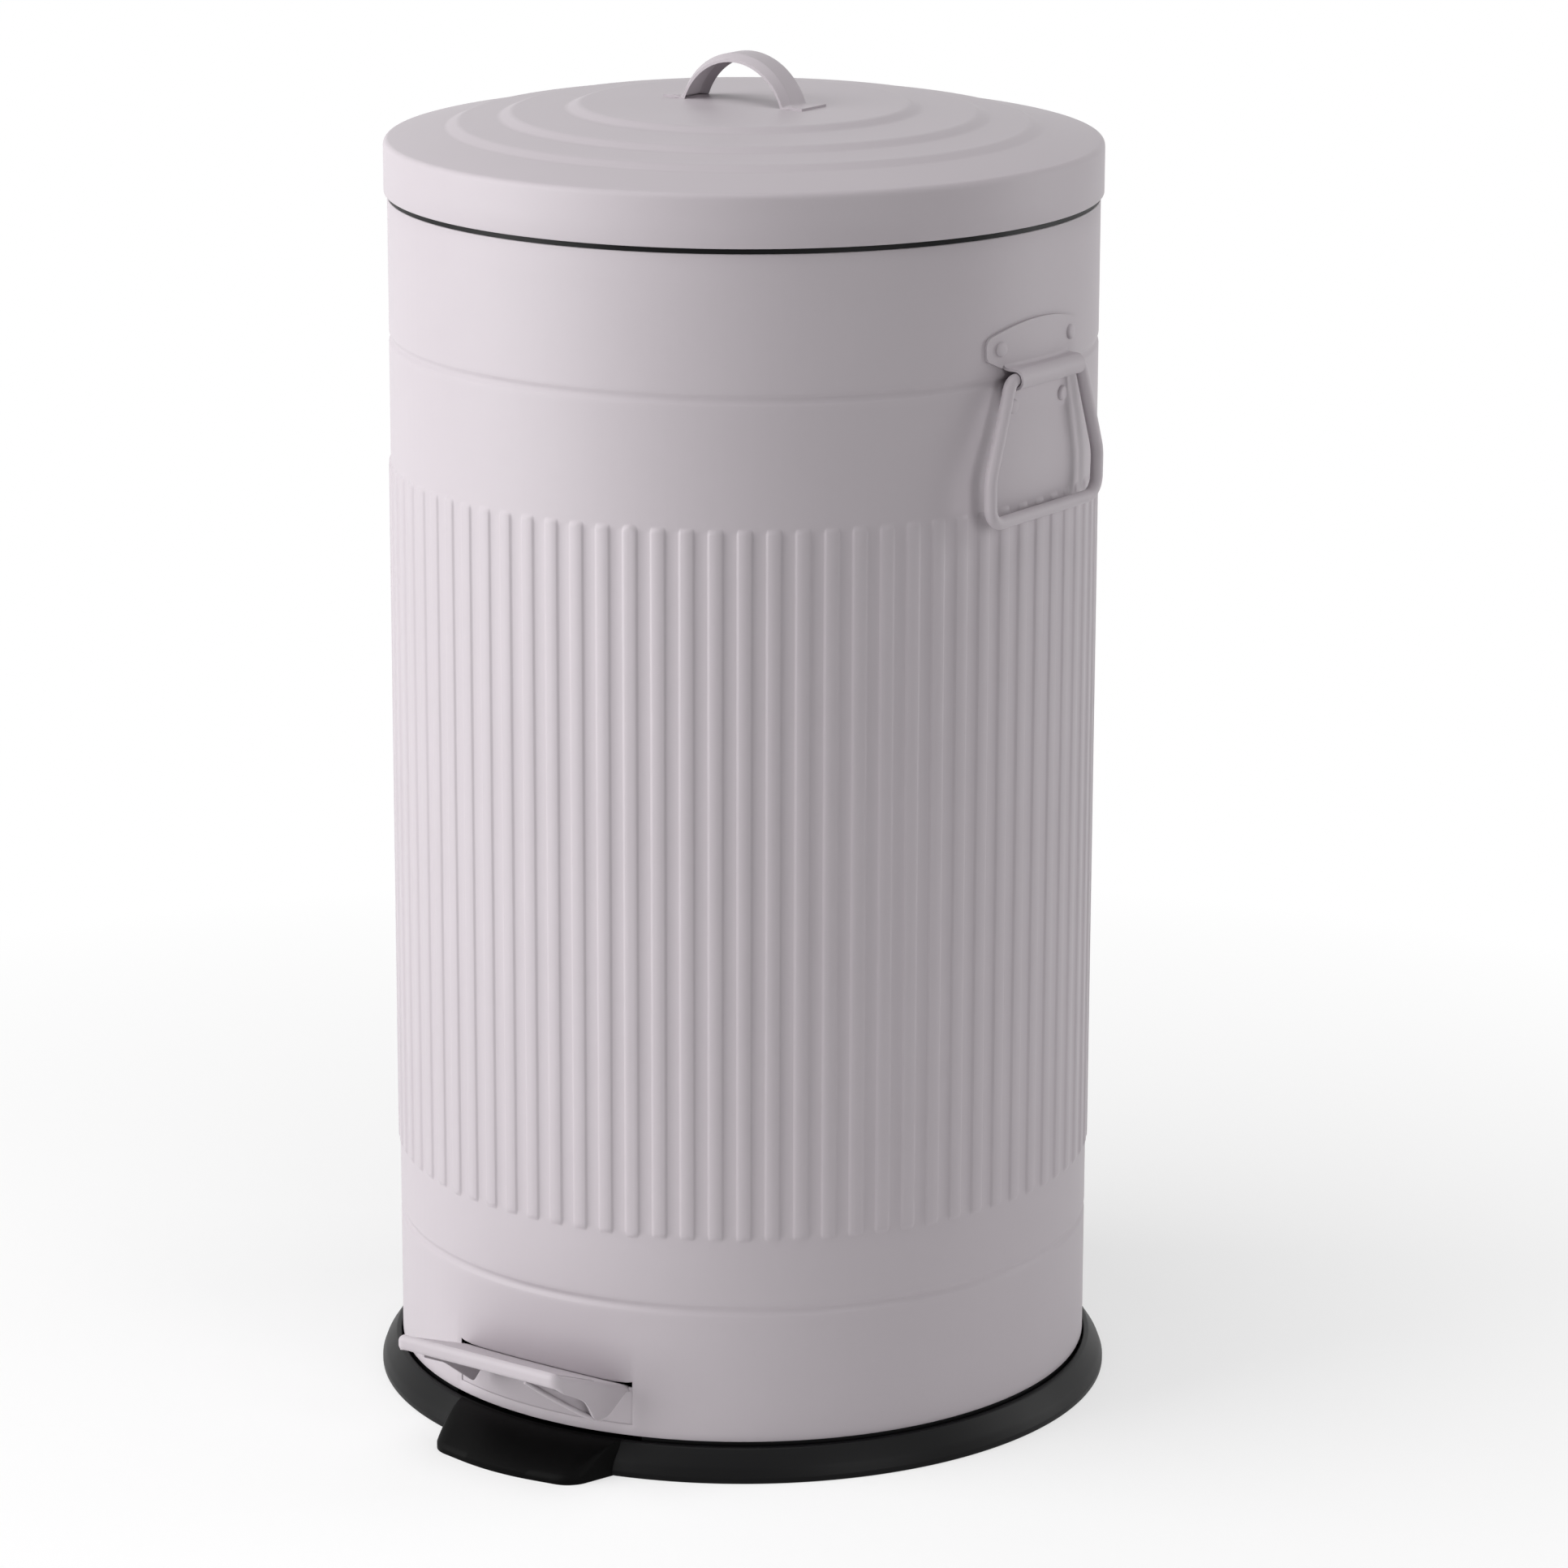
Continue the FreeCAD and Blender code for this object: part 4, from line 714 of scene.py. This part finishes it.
def rivet_head(across, height):
    """Low dome square to the wall, between a ball and a button (a power of sine and cosine), with its foot
    sunk in the plate."""
    radius, rise, sunk, fullness = 3.2, 1.5, 0.4, 0.6
    seat = BODY_RADIUS + PLATE_GAP + PLATE_SHEET
    turn = np.linspace(0, math.pi / 2, 7)[:, None]
    around = np.linspace(0, 2 * math.pi, 24, endpoint=False)
    ring = np.concatenate([radius * np.sin(turn) ** fullness, [[radius], [0]]])
    lift = np.concatenate([rise * np.cos(turn) ** fullness, [[-sunk], [-sunk]]]) + 0 * around
    angle = math.asin(across / seat)
    local = np.stack([seat + lift, ring * np.cos(around), height + ring * np.sin(around)], -1)
    cos, sin = math.cos(angle), math.sin(angle)
    return surface(local @ np.array([(cos, sin, 0), (-sin, cos, 0), (0, 0, 1)]), wrap=True)


def handle_bail():
    """Bell-shaped wire: a round bar along a closed route of straight runs and bends in an upright plane."""
    neck, bell, bell_drop, low_half, drop = 27.0, 41.7, 40.5, 41.2, 60.0
    half = bent([(0, 0), (neck, 0), (bell, -bell_drop), (low_half, -drop), (0, -drop)], [5.5, 22, 8], 16)
    flat = spread(np.concatenate([half, (half * (-1, 1))[-2:0:-1], half[:1]]), 260)[:-1]
    path = np.stack([np.full(len(flat), GRIP_X), GRIP_Y + flat[:, 0], GRIP_Z + flat[:, 1]], -1)
    return tube(path, (1, 0, 0), WIRE_RADIUS, 20, closed=True)


plate = handle_plate()
bail = handle_bail()
rivets = [rivet_head(GRIP_Y + sign * y, GRIP_Z + z) for y, z in (WING_RIVET, TAB_RIVET) for sign in (-1, 1)]
for side, twin in (("right", lambda part: part), ("left", mirrored)):
    piece("handle_plate_" + side + "_curled", [twin(plate)], "root", ["handle_plate_" + side],
          powder, sharp=40)
    piece("handle_rivets_" + side + "_domed", [twin(rivet) for rivet in rivets], "root",
          ["handle_rivets_" + side], powder)
    piece("handle_bail_" + side + "_wire", [twin(bail)], "grip_" + side, ["handle_bail_" + side],
          powder)


# Pieces kept from the drawing

for entry in frame["record"]["subparts"]:
    drawn = frame["nodes"][entry["node"]].data
    drawn.materials.clear()
    drawn.materials.append(finishes[entry["material_slot"]])


# Stage, in metres

def lamp(name, turn, climb, distance, width, height, power):
    """Soft box: a rectangular area lamp that faces the middle of the bin from a turn about Z, counted from
    the front towards +X, and a climb above the floor, both in degrees."""
    middle = (0, 0, 0.3)
    data = bpy.data.lights.new(name, "AREA")
    data.shape = "RECTANGLE"
    data.size = width
    data.size_y = height
    data.energy = power
    made = bpy.data.objects.new(name, data)
    bpy.context.scene.collection.objects.link(made)
    turn, climb = math.radians(turn), math.radians(climb)
    made.matrix_world = (Matrix.Translation(middle) @ Matrix.Rotation(turn, 4, "Z")
                         @ Matrix.Rotation(math.pi / 2 - climb, 4, "X")
                         @ Matrix.Translation((0, 0, distance)))


lamp("key", turn=-37, climb=16, distance=1.7, width=1.6, height=2.0, power=42)
lamp("side", turn=72, climb=14, distance=1.6, width=0.4, height=0.8, power=4.5)
lamp("rim", turn=135, climb=12, distance=1.6, width=0.7, height=1.4, power=8.5)
lamp("top", turn=20, climb=78, distance=1.8, width=1.4, height=1.4, power=14.5)


def looked_at(tree):
    """1 for the rays that show a surface as such (camera, glossy, transmission), 0 for those that light
    others."""
    path = node(tree, "ShaderNodeLightPath").outputs
    seen = node(tree, "ShaderNodeMath", {0: path["Is Camera Ray"], 1: path["Is Glossy Ray"]},
                operation="MAXIMUM")
    seen = node(tree, "ShaderNodeMath", {0: seen.outputs[0], 1: path["Is Transmission Ray"]},
                operation="MAXIMUM")
    return seen.outputs[0]


# White paper sweep: a disc that keeps the shadow near the bin and runs out into the white background. The
# share of white grows from FADE_LEAST to all of it between two distances from the bin's axis.
FLOOR_RADIUS = 1.4
FLOOR_SIDES = 64
FADE_FROM = 0.2
FADE_TO = 0.8
FADE_LEAST = 0.58
around = np.linspace(0, 2 * math.pi, FLOOR_SIDES, endpoint=False)
rim = FLOOR_RADIUS * np.stack([np.cos(around), np.sin(around), 0 * around], -1)
floor_mesh = bpy.data.meshes.new("floor")
floor_mesh.from_pydata(rim, [], [np.arange(FLOOR_SIDES)])
floor = bpy.data.objects.new("floor", floor_mesh)
bpy.context.scene.collection.objects.link(floor)
paper = bpy.data.materials.new("white_paper_sweep")
paper.use_nodes = True
tree = paper.node_tree
matt = tree.nodes["Principled BSDF"]
matt.inputs["Base Color"].default_value = linear("#f7f7f7")
matt.inputs["Roughness"].default_value = 0.9
place = node(tree, "ShaderNodeTexCoord").outputs["Object"]
away = node(tree, "ShaderNodeVectorMath", {0: place}, operation="LENGTH").outputs["Value"]
fade = node(tree, "ShaderNodeMapRange", {
    "Value": away, "From Min": FADE_FROM, "From Max": FADE_TO, "To Min": FADE_LEAST})
fade = node(tree, "ShaderNodeMath", {0: fade.outputs["Result"], 1: looked_at(tree)}, operation="MULTIPLY")
glow = node(tree, "ShaderNodeEmission", {"Color": (1, 1, 1, 1), "Strength": 1.0})
blend = node(tree, "ShaderNodeMixShader", {0: fade.outputs[0], 1: matt.outputs[0], 2: glow.outputs[0]})
tree.links.new(blend.outputs[0], tree.nodes["Material Output"].inputs["Surface"])
floor_mesh.materials.append(paper)

# White where it is looked at, and a faint even light on the bin.
WORLD_LIGHT = 0.04
world = bpy.data.worlds.new("studio")
bpy.context.scene.world = world
world.use_nodes = True
tree = world.node_tree
level = node(tree, "ShaderNodeMapRange", {"Value": looked_at(tree), "To Min": WORLD_LIGHT, "To Max": 1.0})
tree.nodes["Background"].inputs["Color"].default_value = (1, 1, 1, 1)
tree.links.new(level.outputs["Result"], tree.nodes["Background"].inputs["Strength"])

# Camera at the photograph's view: its place in metres, its turn about Z, tilt from straight down and roll
# in degrees, and its lens in millimetres on a sensor of 36
CAMERA_PLACE = (1.5009, -2.0805, 0.9577)
CAMERA_TURN = 35.4
CAMERA_TILT = 75.006
CAMERA_ROLL = 0.172
CAMERA_LENS = 135.66
camera = bpy.data.objects.new("camera", bpy.data.cameras.new("camera"))
bpy.context.scene.collection.objects.link(camera)
camera.matrix_world = (Matrix.Translation(CAMERA_PLACE) @ Matrix.Rotation(math.radians(CAMERA_TURN), 4, "Z")
                       @ Matrix.Rotation(math.radians(CAMERA_TILT), 4, "X")
                       @ Matrix.Rotation(math.radians(CAMERA_ROLL), 4, "Z"))
camera.data.lens = CAMERA_LENS
camera.data.sensor_width = 36
bpy.context.scene.camera = camera
bpy.context.scene.view_settings.view_transform = "Standard"
